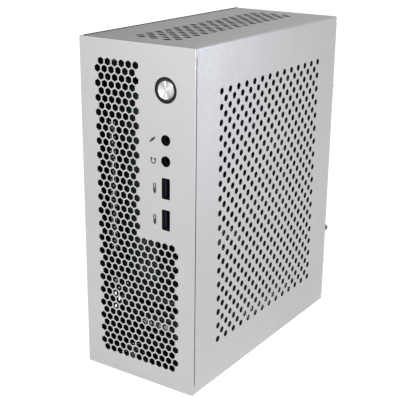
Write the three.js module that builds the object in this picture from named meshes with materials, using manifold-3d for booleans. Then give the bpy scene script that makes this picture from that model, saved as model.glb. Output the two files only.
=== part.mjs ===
// A compact desktop computer tower: a mini-ITX board on the left wall over a Flex ATX power supply,
// in a bent aluminium case whose right side, top and bottom lip come off as one cover.
//
// Millimetres. +Z is up, the perforated front face looks towards -Y and +X is the user's right.
// The origin is on the ground, under the centre of the whole object's box.
import * as THREE from 'three';
import { mergeGeometries, mergeVertices } from 'three/addons/utils/BufferGeometryUtils.js';
import Module from 'manifold-3d';

const wasm = await Module();
wasm.setup();

// ---------------------------------------------------------------- driving dimensions
const BODY_WIDTH = 89;
const BODY_DEPTH = 189; // front face to the rear edge of the right side
const BODY_HEIGHT = 230;
const GROUND_GAP = 2; // the feet hold the body this far off the ground
const SHEET = 1.2; // aluminium sheet
const FIT = 0.3; // gap between neighbouring pieces
const JOIN = 0.5; // how far forms of one piece run into each other
const SEAM = 0.6; // visible gap behind the front panel
const BEND = 1.8; // outer radius of a bend in the sheet
const KNOB_LENGTH = 6.5; // the thumbscrew's reach behind the case

// ---------------------------------------------------------------- levels worked out from them
const HALF_WIDTH = BODY_WIDTH / 2;
const BASE_Z = GROUND_GAP;
const TOP_Z = GROUND_GAP + BODY_HEIGHT;
const FACE_Y = -(BODY_DEPTH + KNOB_LENGTH) / 2;
const REAR_Y = FACE_Y + BODY_DEPTH;
const BACK_OF_PANEL_Y = FACE_Y + SHEET;
const SHELL_START_Y = BACK_OF_PANEL_Y + SEAM;
const REAR_PANEL_OUTER_Y = REAR_Y - SHEET - FIT;
const REAR_PANEL_INNER_Y = REAR_PANEL_OUTER_Y - SHEET;
const WALL_INNER_X = HALF_WIDTH - SHEET;
const INSIDE_X = WALL_INNER_X - FIT; // how far out an inner piece may reach
const TOP_INNER_Z = TOP_Z - SHEET;
const INSIDE_TOP_Z = TOP_INNER_Z - FIT;
const FLOOR_Z = BASE_Z + SHEET + FIT; // the floor lies on the cover's bottom lip
const FLOOR_TOP_Z = FLOOR_Z + SHEET;
const INSIDE_FLOOR_Z = FLOOR_TOP_Z + FIT;

const depth = (distance) => FACE_Y + distance; // Y at a distance behind the front face
const around = (centre, size) => [centre - size / 2, centre + size / 2];

// ---------------------------------------------------------------- front controls
const CONTROLS_X = 22.8; // the button and the ports stand in one column
const BUTTON = {
  z: 204.8,
  hole: 8.2, // radii, from the panel's hole inwards
  ringOut: 7.95,
  ringIn: 7.1,
  lightOut: 6.85,
  lightIn: 6.1,
  cap: 5.85,
};
const JACK = {
  zs: [173.5, 160],
  hole: 3.35, // radii
  nose: 3.05,
  bore: 1.8,
  wide: 6.4,
  tall: 7.2,
  noseFrom: 0.5, // distances behind the front face
  bodyFrom: 3,
  boreTo: 13,
  bodyTo: 15,
};
const USB = {
  zs: [142.2, 121.3],
  cutWide: 6.3,
  cutTall: 13.8,
  shellWide: 5.74,
  shellTall: 13.1,
  wall: 0.35,
  shellFrom: 0.4, // distances behind the front face
  shellTo: 17,
};

// ---------------------------------------------------------------- vents
// The solids carry a coarser lattice than the real sheet, over the same fields and with the same open share.
const FRONT_VENT = {
  radius: 5,
  pitch: 11,
  rowPitch: 9.526, // pitch times half the root of 3
  rows: 21,
  perRow: 6,
  fullRows: 9, // the lowest rows, which run the whole width
  centreZ: 117.5,
};
const WALL_VENT = { radius: 6, pitch: 30, rows: 11, perRow: 5, centreZ: 117 };
const TOP_VENT = { radius: 6, pitch: 30, rows: 2, perRow: 6 };
const REAR_VENT = { radius: 6, pitch: 18, rowPitch: 15, rows: 10, perRow: 2, centreX: 20, centreZ: 137 };
const HEX = 6;

// ---------------------------------------------------------------- main board
const BOARD = { size: 170, thick: 1.6, bottomZ: 52, rearGap: 3.5, standoff: 6.2 };
const BOARD_BACK_X = -WALL_INNER_X + FIT + BOARD.standoff + FIT;
const BOARD_FACE_X = BOARD_BACK_X + BOARD.thick;
const ON_BOARD_X = BOARD_FACE_X + FIT;
const BOARD_REAR_Y = REAR_Y - BOARD.rearGap;
const BOARD_FRONT_Y = BOARD_REAR_Y - BOARD.size;
const BOARD_TOP_Z = BOARD.bottomZ + BOARD.size;
const HOLE_INSET_Z = 6.35;
const HOLE_INSET_Y = 10.16;
const HOLE_SPAN_Y = 154.94;
const HOLE_STEP_Y = 22.86;
const BOARD_HOLES = [
  [BOARD_REAR_Y - HOLE_INSET_Y, BOARD_TOP_Z - HOLE_INSET_Z],
  [BOARD_REAR_Y - HOLE_INSET_Y - HOLE_SPAN_Y, BOARD_TOP_Z - HOLE_INSET_Z],
  [BOARD_REAR_Y - HOLE_INSET_Y - HOLE_SPAN_Y, BOARD.bottomZ + HOLE_INSET_Z],
  [BOARD_REAR_Y - HOLE_INSET_Y - HOLE_STEP_Y, BOARD.bottomZ + HOLE_INSET_Z],
];
const IO_APERTURE = { xs: [-39.2, 5.25], zs: [57.6, 216.35] };
const COOLER = {
  y: depth(105),
  z: 140,
  size: 88,
  base: 4,
  finHeight: 20,
  fins: 22,
  fan: 80,
  fanDepth: 15,
  fanWall: 2, // thinnest part of the fan's frame, beside its bore
  frameHub: 15, // radii
  rotorHub: 16,
  blades: 7,
  chord: 12,
};

// ---------------------------------------------------------------- power supply (Flex ATX)
const PSU = { wide: 81.5, long: 150, tall: 40.5, wall: 1, rightX: 38.7 };
const PSU_XS = [PSU.rightX - PSU.wide, PSU.rightX];
const PSU_YS = [REAR_Y - 3 - PSU.long, REAR_Y - 3];
const PSU_ZS = [INSIDE_FLOOR_Z, INSIDE_FLOOR_Z + PSU.tall];
const PSU_MID_Z = (PSU_ZS[0] + PSU_ZS[1]) / 2;
const PSU_FAN = {
  x: 17,
  size: 37.8,
  thick: 20,
  hole: 17, // radii
  bore: 17.7,
  tip: 16.9,
  frameHub: 9,
  rotorHub: 9.5,
  blades: 5,
  chord: 14,
};
const INLET = { x: -30, wide: 20, tall: 27.5, flangeWide: 22, flangeTall: 31 };
const SWITCH = { x: -11, wide: 11, tall: 19, flangeWide: 13, flangeTall: 21 };

// ---------------------------------------------------------------- cover fasteners
const COVER_SCREW_X = 40.9;
const COVER_SCREW_ZS = { upper: 179.5, lower: 35 };
const THUMBSCREW_Z = 62;
const SCREW_SHANK = 1.4;
const SCREW_HOLE = SCREW_SHANK + FIT;

// ---------------------------------------------------------------- materials
function finish(color, roughness, metalness) {
  return new THREE.MeshStandardMaterial({ color, roughness, metalness });
}

const MATERIAL = {
  aluminium: () => finish(0xc9c8c9, 0.42, 0.85),
  bareAluminium: () => finish(0xb9bbbd, 0.35, 0.9),
  steel: () => finish(0xa8aaac, 0.3, 1),
  darkSteel: () => finish(0x5c5d60, 0.35, 1),
  plated: () => finish(0xc4c6c8, 0.22, 1),
  blackPlastic: () => finish(0x151516, 0.5, 0),
  whitePlastic: () => finish(0xd9d6cc, 0.5, 0),
  bluePlastic: () => finish(0x151b4a, 0.45, 0),
  smokyPlastic: () => finish(0x2c2d31, 0.25, 0),
  circuitBoard: () => finish(0x123524, 0.45, 0),
  chipBlack: () => finish(0x1b1c1e, 0.4, 0),
  rubber: () => finish(0x1c1c1c, 0.85, 0),
  sleeve: () => finish(0x1a1a1c, 0.7, 0),
};

// ---------------------------------------------------------------- shape helpers
function box(xs, ys, zs) {
  const geometry = new THREE.BoxGeometry(xs[1] - xs[0], ys[1] - ys[0], zs[1] - zs[0]);
  geometry.translate((xs[0] + xs[1]) / 2, (ys[0] + ys[1]) / 2, (zs[0] + zs[1]) / 2);
  return geometry;
}

// A prism or rod along an axis: centre is its place on the two other axes, in X, Y, Z order.
function rod(axis, radius, ends, centre, sides) {
  const geometry = new THREE.CylinderGeometry(radius, radius, ends[1] - ends[0], sides);
  const middle = (ends[0] + ends[1]) / 2;
  if (axis === 'x') {
    geometry.rotateZ(-Math.PI / 2);
    geometry.translate(middle, centre[0], centre[1]);
  } else if (axis === 'y') {
    geometry.translate(centre[0], middle, centre[1]);
  } else {
    geometry.rotateX(Math.PI / 2);
    geometry.translate(centre[0], centre[1], middle);
  }
  return geometry;
}

function polygon(points) {
  return new THREE.Shape(points.map(([u, v]) => new THREE.Vector2(u, v)));
}

// A profile drawn in X and Z, extruded along Y between two values.
function alongY(shape, ys, curveSegments = 4) {
  const settings = { depth: ys[1] - ys[0], bevelEnabled: false, curveSegments };
  const geometry = new THREE.ExtrudeGeometry(shape, settings);
  geometry.rotateX(Math.PI / 2);
  geometry.translate(0, ys[1], 0);
  return geometry;
}

function toManifold(geometry) {
  const bare = geometry.clone();
  bare.deleteAttribute('normal');
  bare.deleteAttribute('uv');
  const merged = mergeVertices(bare, 1e-4);
  const mesh = new wasm.Mesh({
    numProp: 3,
    vertProperties: Float32Array.from(merged.attributes.position.array),
    triVerts: Uint32Array.from(merged.index.array),
  });
  return new wasm.Manifold(mesh);
}

function toGeometry(manifold) {
  const mesh = manifold.getMesh();
  const geometry = new THREE.BufferGeometry();
  geometry.setAttribute('position', new THREE.BufferAttribute(mesh.vertProperties, 3));
  geometry.setIndex(new THREE.BufferAttribute(mesh.triVerts, 1));
  geometry.computeVertexNormals();
  return geometry;
}

function join(...pieces) {
  return toGeometry(pieces.map(toManifold).reduce((whole, piece) => whole.add(piece)));
}

function cut(base, ...tools) {
  return toGeometry(tools.map(toManifold).reduce((left, tool) => left.subtract(tool), toManifold(base)));
}

function clip(base, keep) {
  return toGeometry(toManifold(base).intersect(toManifold(keep)));
}

// A tube along a smooth curve through hand-picked points.
function tube(points, radius, sides, steps) {
  const curve = new THREE.CatmullRomCurve3(points.map((point) => new THREE.Vector3(...point)));
  const section = new THREE.Shape();
  for (let side = 0; side < sides; side += 1) {
    const angle = (2 * Math.PI * side) / sides;
    const place = [radius * Math.cos(angle), radius * Math.sin(angle)];
    if (side === 0) section.moveTo(...place);
    else section.lineTo(...place);
  }
  section.closePath();
  return new THREE.ExtrudeGeometry(section, { steps, extrudePath: curve, curveSegments: sides });
}

const tower = new THREE.Group();
tower.name = 'desktop_tower';

function add(name, geometry, material, position = [0, 0, 0]) {
  const mesh = new THREE.Mesh(geometry, material());
  mesh.name = name;
  mesh.position.set(...position);
  tower.add(mesh);
  return mesh;
}

// ---------------------------------------------------------------- vent fields
// Staggered centres: every second row holds one hole fewer, half a pitch across.
function staggered(rows, perRow, pitch, rowPitch) {
  const centres = [];
  for (let row = 0; row < rows; row += 1) {
    const count = perRow - (row % 2);
    for (let column = 0; column < count; column += 1) {
      centres.push([(column - (count - 1) / 2) * pitch, (row - (rows - 1) / 2) * rowPitch]);
    }
  }
  return centres;
}

function wallVents(wallX) {
  const { radius, pitch, rows, perRow, centreZ } = WALL_VENT;
  const middleY = (FACE_Y + REAR_Y) / 2;
  const centres = staggered(rows, perRow, pitch, pitch / 2);
  const through = around(wallX, 4 * SHEET);
  return mergeGeometries(centres.map(([u, v]) => rod('x', radius, through, [middleY + u, centreZ + v], HEX)));
}

function topVents() {
  const { radius, pitch } = TOP_VENT;
  const middleY = (FACE_Y + REAR_Y) / 2;
  const centres = staggered(TOP_VENT.rows, TOP_VENT.perRow, pitch, pitch / 2);
  const through = around(TOP_Z - SHEET / 2, 4 * SHEET);
  return mergeGeometries(centres.map(([u, v]) => rod('z', radius, through, [v, middleY + u], HEX)));
}

// The front field: a narrow upper part left of the controls over a full-width lower part.
function frontVents() {
  const { radius, pitch, rowPitch, rows, perRow, fullRows, centreZ } = FRONT_VENT;
  const all = staggered(rows, perRow, pitch, rowPitch);
  const upperStart = (fullRows - rows / 2) * rowPitch;
  const kept = all.filter(([u, v]) => v < upperStart || u < pitch / 4);
  return kept.map(([u, v]) => {
    const outline = new THREE.Path();
    for (let corner = 0; corner < HEX; corner += 1) {
      const angle = Math.PI / 2 + (2 * Math.PI * corner) / HEX;
      const place = [u + radius * Math.cos(angle), centreZ + v + radius * Math.sin(angle)];
      if (corner === 0) outline.moveTo(...place);
      else outline.lineTo(...place);
    }
    outline.closePath();
    return outline;
  });
}

// ---------------------------------------------------------------- case
// Left wall and floor: one sheet bent along the lower left edge.
function chassis() {
  const inner = BEND - SHEET;
  const shape = new THREE.Shape();
  shape.moveTo(-HALF_WIDTH, TOP_Z);
  shape.lineTo(-HALF_WIDTH, FLOOR_Z + BEND);
  shape.absarc(-HALF_WIDTH + BEND, FLOOR_Z + BEND, BEND, Math.PI, 1.5 * Math.PI, false);
  shape.lineTo(INSIDE_X, FLOOR_Z);
  shape.lineTo(INSIDE_X, FLOOR_TOP_Z);
  shape.lineTo(-WALL_INNER_X + inner, FLOOR_TOP_Z);
  shape.absarc(-WALL_INNER_X + inner, FLOOR_TOP_Z + inner, inner, 1.5 * Math.PI, Math.PI, true);
  shape.lineTo(-WALL_INNER_X, TOP_Z);
  shape.closePath();
  const sheet = alongY(shape, [SHELL_START_Y, REAR_PANEL_OUTER_Y]);
  return cut(sheet, wallVents(-HALF_WIDTH + SHEET / 2));
}

// Top, right side and bottom lip: one bent sheet, with a rear flange that the screws hold.
const LIP = 10;
const FLANGE = { innerX: 37, zs: [FLOOR_Z + 2, TOP_Z - 4] };

function coverProfile() {
  const inner = BEND - SHEET;
  const topLeftX = -WALL_INNER_X + SEAM;
  const shape = new THREE.Shape();
  shape.moveTo(HALF_WIDTH - LIP, BASE_Z);
  shape.lineTo(HALF_WIDTH - BEND, BASE_Z);
  shape.absarc(HALF_WIDTH - BEND, BASE_Z + BEND, BEND, -Math.PI / 2, 0, false);
  shape.lineTo(HALF_WIDTH, TOP_Z - BEND);
  shape.absarc(HALF_WIDTH - BEND, TOP_Z - BEND, BEND, 0, Math.PI / 2, false);
  shape.lineTo(topLeftX, TOP_Z);
  shape.lineTo(topLeftX, TOP_INNER_Z);
  shape.lineTo(WALL_INNER_X - inner, TOP_INNER_Z);
  shape.absarc(WALL_INNER_X - inner, TOP_INNER_Z - inner, inner, Math.PI / 2, 0, true);
  shape.lineTo(WALL_INNER_X, BASE_Z + SHEET + inner);
  shape.absarc(WALL_INNER_X - inner, BASE_Z + SHEET + inner, inner, 0, -Math.PI / 2, true);
  shape.lineTo(HALF_WIDTH - LIP, BASE_Z + SHEET);
  shape.closePath();
  return shape;
}

// The flange's slots are open towards -X, so the cover slides off once its screws are loosened.
function flangeSlot(z) {
  const through = [REAR_Y - 2 * SHEET, REAR_Y + SHEET];
  const round = rod('y', SCREW_HOLE, through, [COVER_SCREW_X, z], 12);
  const mouth = box([FLANGE.innerX - 1, COVER_SCREW_X], through, around(z, 2 * SCREW_HOLE));
  return join(round, mouth);
}

function cover() {
  const past = 1; // how far a cutting solid runs past what it cuts
  const endYs = [REAR_PANEL_OUTER_Y, REAR_Y + past];
  const sheet = alongY(coverProfile(), [SHELL_START_Y, REAR_Y]);
  const flange = box([FLANGE.innerX, HALF_WIDTH - SHEET / 2], [REAR_Y - SHEET, REAR_Y], FLANGE.zs);
  const topEnd = box([-HALF_WIDTH, WALL_INNER_X - BEND], endYs, [TOP_INNER_Z - BEND, TOP_Z + past]);
  const lipEnd = box([HALF_WIDTH - LIP - past, WALL_INNER_X - BEND], endYs, [BASE_Z - past, FLOOR_Z]);
  const slots = [COVER_SCREW_ZS.upper, COVER_SCREW_ZS.lower, THUMBSCREW_Z].map(flangeSlot);
  const shell = join(cut(sheet, topEnd, lipEnd), flange);
  return cut(shell, ...slots, wallVents(HALF_WIDTH - SHEET / 2), topVents());
}

function roundHole(x, z, radius) {
  const hole = new THREE.Path();
  hole.absarc(x, z, radius, 0, 2 * Math.PI, true);
  return hole;
}

function squareHole(xs, zs) {
  const hole = new THREE.Path();
  hole.moveTo(xs[0], zs[0]);
  hole.lineTo(xs[0], zs[1]);
  hole.lineTo(xs[1], zs[1]);
  hole.lineTo(xs[1], zs[0]);
  hole.closePath();
  return hole;
}

const rectangle = (xs, zs) => polygon([[xs[0], zs[0]], [xs[1], zs[0]], [xs[1], zs[1]], [xs[0], zs[1]]]);

function frontPanel() {
  const shape = rectangle([-HALF_WIDTH, HALF_WIDTH], [BASE_Z, TOP_Z]);
  shape.holes.push(...frontVents());
  shape.holes.push(roundHole(CONTROLS_X, BUTTON.z, BUTTON.hole));
  JACK.zs.forEach((z) => shape.holes.push(roundHole(CONTROLS_X, z, JACK.hole)));
  const usbXs = around(CONTROLS_X, USB.cutWide);
  USB.zs.forEach((z) => shape.holes.push(squareHole(usbXs, around(z, USB.cutTall))));
  return alongY(shape, [FACE_Y, BACK_OF_PANEL_Y], 14);
}

// The frame that the front panel is fixed to, with the plate and tab that carry the front controls.
const FRAME_YS = [BACK_OF_PANEL_Y + FIT, BACK_OF_PANEL_Y + FIT + SHEET];
const FRAME_XS = [-INSIDE_X, 40.9];
const FRAME_WINDOW = { xs: [-34, 35], zs: [12, 222] };
const BUTTON_PLATE = { xs: [7, 36], zs: [191, 223] };
const FRAME_FLANGE = 12;
const REAR_FLANGE = 8;
const IO_BOARD = { xs: [26.3, 27.9], ys: [depth(3.2), depth(33)], zs: [112, 183] };
const IO_TAB_END = depth(26);

function frontFrame() {
  const ring = rectangle(FRAME_XS, [INSIDE_FLOOR_Z, INSIDE_TOP_Z]);
  ring.holes.push(squareHole(FRAME_WINDOW.xs, FRAME_WINDOW.zs));
  const plate = rectangle(BUTTON_PLATE.xs, BUTTON_PLATE.zs);
  plate.holes.push(roundHole(CONTROLS_X, BUTTON.z, BUTTON.ringOut + 2 * FIT));
  const flangeYs = [FRAME_YS[1] - FIT, FRAME_YS[1] + FRAME_FLANGE];
  const leftFlange = box([FRAME_XS[0], FRAME_XS[0] + SHEET], flangeYs, [BOARD.bottomZ, INSIDE_TOP_Z]);
  const topFlange = box(FRAME_XS, flangeYs, [INSIDE_TOP_Z - SHEET, INSIDE_TOP_Z]);
  const tabX = IO_BOARD.xs[1] + FIT;
  const tabFoot = box([tabX, FRAME_XS[1] - 1], FRAME_YS, IO_BOARD.zs);
  const tab = box([tabX, tabX + SHEET], [FRAME_YS[0], IO_TAB_END], IO_BOARD.zs);
  return join(alongY(ring, FRAME_YS), alongY(plate, FRAME_YS, 8), leftFlange, topFlange, tabFoot, tab);
}

function rearPanel() {
  const xs = [-INSIDE_X, INSIDE_X];
  const rim = { x: 1, z: 3 }; // how far the plate laps over the power supply's outline
  const shape = rectangle(xs, [INSIDE_FLOOR_Z, INSIDE_TOP_Z]);
  const apertureXs = [IO_APERTURE.xs[0] - FIT, IO_APERTURE.xs[1] + FIT];
  const apertureZs = [IO_APERTURE.zs[0] - FIT, IO_APERTURE.zs[1] + FIT];
  shape.holes.push(squareHole(apertureXs, apertureZs));
  const psuWindowXs = [PSU_XS[0] + rim.x, PSU_XS[1] - rim.x];
  shape.holes.push(squareHole(psuWindowXs, [PSU_ZS[0] + rim.z, PSU_ZS[1] - rim.z]));
  [COVER_SCREW_ZS.upper, COVER_SCREW_ZS.lower, THUMBSCREW_Z].forEach((z) => {
    shape.holes.push(roundHole(COVER_SCREW_X, z, SCREW_HOLE));
  });
  const plate = alongY(shape, [REAR_PANEL_INNER_Y, REAR_PANEL_OUTER_Y], 3);
  const flangeYs = [REAR_PANEL_INNER_Y - REAR_FLANGE, REAR_PANEL_INNER_Y + FIT];
  const leftFlange = box([xs[0], xs[0] + SHEET], flangeYs, [BOARD.bottomZ, INSIDE_TOP_Z]);
  const topFlange = box(xs, flangeYs, [INSIDE_TOP_Z - SHEET, INSIDE_TOP_Z]);
  const { radius, pitch, rowPitch, rows, perRow, centreX, centreZ } = REAR_VENT;
  const centres = staggered(rows, perRow, pitch, rowPitch).map(([u, v]) => [centreX + u, centreZ + v]);
  const through = around(REAR_PANEL_OUTER_Y, 4 * SHEET);
  const vents = mergeGeometries(centres.map((centre) => rod('y', radius, through, centre, HEX)));
  return cut(join(plate, leftFlange, topFlange), vents);
}

const FOOT = { radius: 6, height: FLOOR_Z - FIT, x: 26, y: 70, chamfer: 0.5 };

function foot() {
  const { radius, height, chamfer } = FOOT;
  const profile = [[0, 0], [radius - chamfer, 0], [radius, chamfer], [radius, height], [0, height]];
  const geometry = new THREE.LatheGeometry(profile.map(([r, h]) => new THREE.Vector2(r, h)), 20);
  geometry.rotateX(Math.PI / 2);
  return geometry;
}

function addCase() {
  add('chassis', chassis(), MATERIAL.aluminium);
  add('cover', cover(), MATERIAL.aluminium);
  add('front_panel', frontPanel(), MATERIAL.aluminium);
  add('front_frame', frontFrame(), MATERIAL.bareAluminium);
  add('rear_panel', rearPanel(), MATERIAL.aluminium);
  const middleY = (FACE_Y + REAR_Y) / 2;
  const corners = [[-1, -1], [1, -1], [1, 1], [-1, 1]];
  corners.forEach(([sideX, sideY], index) => {
    add(`foot_${index + 1}`, foot(), MATERIAL.rubber, [sideX * FOOT.x, middleY + sideY * FOOT.y, 0]);
  });
}

// A turned screw along Y: its head starts at y = 0 and its shank reaches back to -length.
function screw(profile, length, sides) {
  const shank = [[0, -length], [SCREW_SHANK, -length], [SCREW_SHANK, 0]];
  const points = [...shank, ...profile].map(([r, y]) => new THREE.Vector2(r, y));
  return new THREE.LatheGeometry(points, sides);
}

function addCoverScrews() {
  const length = 2 * (FIT + SHEET + FIT);
  const panHead = [[3, 0], [3, 1], [2.2, 1.8], [0, 1.8]];
  const knobEnd = KNOB_LENGTH - FIT;
  const knobRadius = 2.5;
  const chamfer = 0.4;
  const knobTip = [[knobRadius, knobEnd - chamfer], [knobRadius - chamfer, knobEnd], [0, knobEnd]];
  const knob = [[knobRadius, 0], ...knobTip];
  const place = (z) => [COVER_SCREW_X, REAR_Y + FIT, z];
  add('cover_screw_upper', screw(panHead, length, 16), MATERIAL.steel, place(COVER_SCREW_ZS.upper));
  add('cover_screw_lower', screw(panHead, length, 16), MATERIAL.steel, place(COVER_SCREW_ZS.lower));
  add('cover_thumbscrew', screw(knob, length, 16), MATERIAL.darkSteel, place(THUMBSCREW_Z));
}

// ---------------------------------------------------------------- power button
// A ring lathed around the button's axis; the profile runs from the front face backwards.
function buttonRing(profile, sides) {
  const closed = [...profile, profile[0]].reverse();
  return new THREE.LatheGeometry(closed.map(([r, y]) => new THREE.Vector2(r, y)), sides);
}

// Distances behind the front face, and radii about the button's axis.
const BEZEL = { flangeReach: 2, to: 7 };
const LIGHT = { from: 0.2, to: 6 };
const CAP_THICK = 4;
const STEM = { radius: 2, length: 7 };
const SWITCH_START = 7.3;
const SWITCH_END = 24;
const SPRING_FLOOR = 13;
const SWITCH_BODY = { radius: 7.6, pocket: 5, bore: 2.4, end: 4 };
const TERMINAL = { x: 3, thick: 0.8, wide: 2.8, long: 5 };
const BUTTON_SIDES = 28;

function powerBezel() {
  const flangeStart = FRAME_YS[1] + FIT - FACE_Y;
  const flangeEnd = flangeStart + SHEET;
  const { ringOut, ringIn } = BUTTON;
  const reach = ringOut + BEZEL.flangeReach;
  const tube = [[ringIn, 0], [ringIn, BEZEL.to], [ringOut, BEZEL.to]];
  const flange = [[ringOut, flangeEnd], [reach, flangeEnd], [reach, flangeStart], [ringOut, flangeStart]];
  return buttonRing([...tube, ...flange, [ringOut, 0]], BUTTON_SIDES);
}

function powerCap() {
  const chamfer = 0.5;
  const stemEnd = CAP_THICK + STEM.length;
  const { cap } = BUTTON;
  const stem = [[STEM.radius, CAP_THICK], [STEM.radius, stemEnd], [0, stemEnd]];
  const profile = [[0, 0], [cap - chamfer, 0], [cap, chamfer], [cap, CAP_THICK], ...stem];
  return new THREE.LatheGeometry(profile.map(([r, y]) => new THREE.Vector2(r, y)), BUTTON_SIDES);
}

function switchBody() {
  const body = rod('y', SWITCH_BODY.radius, [SWITCH_START, SWITCH_END], [0, 0], 24);
  const pocket = rod('y', SWITCH_BODY.pocket, [SWITCH_START - 1, SPRING_FLOOR], [0, 0], 20);
  const bore = rod('y', SWITCH_BODY.bore, [SWITCH_START, SWITCH_END - SWITCH_BODY.end], [0, 0], 12);
  const terminalYs = [SWITCH_END - 1, SWITCH_END + TERMINAL.long];
  const terminals = [-TERMINAL.x, TERMINAL.x].map((x) => {
    return box(around(x, TERMINAL.thick), terminalYs, around(0, TERMINAL.wide));
  });
  return join(cut(body, pocket, bore), ...terminals);
}

class Helix extends THREE.Curve {
  getPoint(t, target = new THREE.Vector3()) {
    const turns = 4;
    const radius = 3.4;
    const angle = 2 * Math.PI * turns * t;
    const seat = 0.7; // from either end of the room for the spring to its wire's middle
    const start = CAP_THICK + seat;
    const end = SPRING_FLOOR - seat;
    return target.set(radius * Math.cos(angle), start + (end - start) * t, radius * Math.sin(angle));
  }
}

function buttonSpring() {
  const wireRadius = 0.35;
  const wire = new THREE.Shape();
  wire.absarc(0, 0, wireRadius, 0, 2 * Math.PI, false);
  return new THREE.ExtrudeGeometry(wire, { steps: 44, extrudePath: new Helix(), curveSegments: 3 });
}

function addPowerButton() {
  const place = [CONTROLS_X, FACE_Y, BUTTON.z];
  const { lightOut, lightIn } = BUTTON;
  const light = [[lightIn, LIGHT.from], [lightIn, LIGHT.to], [lightOut, LIGHT.to], [lightOut, LIGHT.from]];
  add('power_button_bezel', powerBezel(), MATERIAL.blackPlastic, place);
  add('power_light_ring', buttonRing(light, BUTTON_SIDES), MATERIAL.smokyPlastic, place);
  add('power_button_cap', powerCap(), MATERIAL.plated, place);
  add('power_button_spring', buttonSpring(), MATERIAL.steel, place);
  add('power_switch_body', switchBody(), MATERIAL.blackPlastic, place);
}

// ---------------------------------------------------------------- front ports
function audioJack() {
  const { noseFrom, bodyFrom, boreTo, bodyTo } = JACK;
  const body = box(around(0, JACK.wide), [depth(bodyFrom), depth(bodyTo)], around(0, JACK.tall));
  const nose = rod('y', JACK.nose, [depth(noseFrom), depth(bodyFrom + JOIN)], [0, 0], 20);
  const bore = rod('y', JACK.bore, [depth(0), depth(boreTo)], [0, 0], 16);
  return cut(join(body, nose), bore);
}

function usbShell() {
  const { shellWide, shellTall, wall, shellFrom, shellTo } = USB;
  const insideYs = [depth(0), depth(shellTo + 1)];
  const outer = box(around(0, shellWide), [depth(shellFrom), depth(shellTo)], around(0, shellTall));
  const inside = box(around(0, shellWide - 2 * wall), insideYs, around(0, shellTall - 2 * wall));
  return cut(outer, inside);
}

// The tongue stands left of the middle, with the contacts on its right, and grows out of a block at the back.
const USB_TONGUE = { xs: [-2.3, -0.46], from: 1.4, to: 11, tall: 11.1 };
const USB_BLOCK = { wide: 4.4, from: 10, to: 16.5, tall: 11.6 };

function usbTongue() {
  const tongueYs = [depth(USB_TONGUE.from), depth(USB_TONGUE.to)];
  const blockYs = [depth(USB_BLOCK.from), depth(USB_BLOCK.to)];
  const tongue = box(USB_TONGUE.xs, tongueYs, around(0, USB_TONGUE.tall));
  const block = box(around(0, USB_BLOCK.wide), blockYs, around(0, USB_BLOCK.tall));
  return join(tongue, block);
}

function addFrontPorts() {
  const [micZ, headphoneZ] = JACK.zs;
  const [upperZ, lowerZ] = USB.zs;
  add('front_io_board', box(IO_BOARD.xs, IO_BOARD.ys, IO_BOARD.zs), MATERIAL.circuitBoard);
  add('mic_jack', audioJack(), MATERIAL.blackPlastic, [CONTROLS_X, 0, micZ]);
  add('headphone_jack', audioJack(), MATERIAL.blackPlastic, [CONTROLS_X, 0, headphoneZ]);
  add('usb_shell_upper', usbShell(), MATERIAL.plated, [CONTROLS_X, 0, upperZ]);
  add('usb_shell_lower', usbShell(), MATERIAL.plated, [CONTROLS_X, 0, lowerZ]);
  add('usb_tongue_upper', usbTongue(), MATERIAL.bluePlastic, [CONTROLS_X, 0, upperZ]);
  add('usb_tongue_lower', usbTongue(), MATERIAL.bluePlastic, [CONTROLS_X, 0, lowerZ]);
}

// ---------------------------------------------------------------- main board and what stands on it
const BOARD_HOLE = 1.9; // radii
const STANDOFF = 2.9;

function motherboard() {
  const through = around(BOARD_BACK_X, 4 * BOARD.thick);
  const holes = BOARD_HOLES.map((centre) => rod('x', BOARD_HOLE, through, centre, 10));
  const boardYs = [BOARD_FRONT_Y, BOARD_REAR_Y];
  return cut(box([BOARD_BACK_X, BOARD_FACE_X], boardYs, [BOARD.bottomZ, BOARD_TOP_Z]), ...holes);
}

function addBoard() {
  add('motherboard', motherboard(), MATERIAL.circuitBoard);
  const standoffXs = [-WALL_INNER_X + FIT, BOARD_BACK_X - FIT];
  BOARD_HOLES.forEach((centre, index) => {
    add(`standoff_${index + 1}`, rod('x', STANDOFF, standoffXs, centre, HEX), MATERIAL.bareAluminium);
  });
}

// Sockets in the rear of the board: each block stands on it and passes the shield. A square mouth has its
// height above the board, its width along Z and its opening across X; a round one has its height alone.
const PORT_END_Y = REAR_PANEL_OUTER_Y + 0.6;
const MOUTH_DEPTH = 10;
const PORT_BORE = 1.9;
const usbMouth = (height) => ({ height, width: 12.6, open: 5.2 });
const PORTS = [
  {
    name: 'rear_usb_stack', z: 72, wide: 14, tall: 16.2, back: 17,
    mouths: [usbMouth(4), usbMouth(12)],
  },
  {
    name: 'rear_video_ports', z: 97, wide: 18, tall: 14.5, back: 14,
    mouths: [{ height: 4, width: 15, open: 4.6 }, { height: 10.8, width: 16, open: 4.8 }],
  },
  {
    name: 'rear_lan_stack', z: 130, wide: 16.4, tall: 29, back: 21,
    mouths: [usbMouth(4), usbMouth(11), { height: 21.6, width: 11.8, open: 8.6 }],
  },
  {
    name: 'rear_audio_jacks', z: 178, wide: 13, tall: 34, back: 14,
    bores: [6, 17, 28],
  },
];

function portBlock({ z, wide, tall, back, mouths = [], bores = [] }) {
  const block = box([ON_BOARD_X, ON_BOARD_X + tall], [PORT_END_Y - back, PORT_END_Y], around(z, wide));
  const ys = [PORT_END_Y - MOUTH_DEPTH, PORT_END_Y + 1];
  const square = mouths.map(({ height, width, open }) => {
    return box(around(ON_BOARD_X + height, open), ys, around(z, width));
  });
  const round = bores.map((height) => rod('y', PORT_BORE, ys, [ON_BOARD_X + height, z], 14));
  return cut(block, ...square, ...round);
}

const SHIELD_SHEET = 0.8;
const SHIELD_INSET = 0.2; // from the rear panel's outer face

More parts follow.
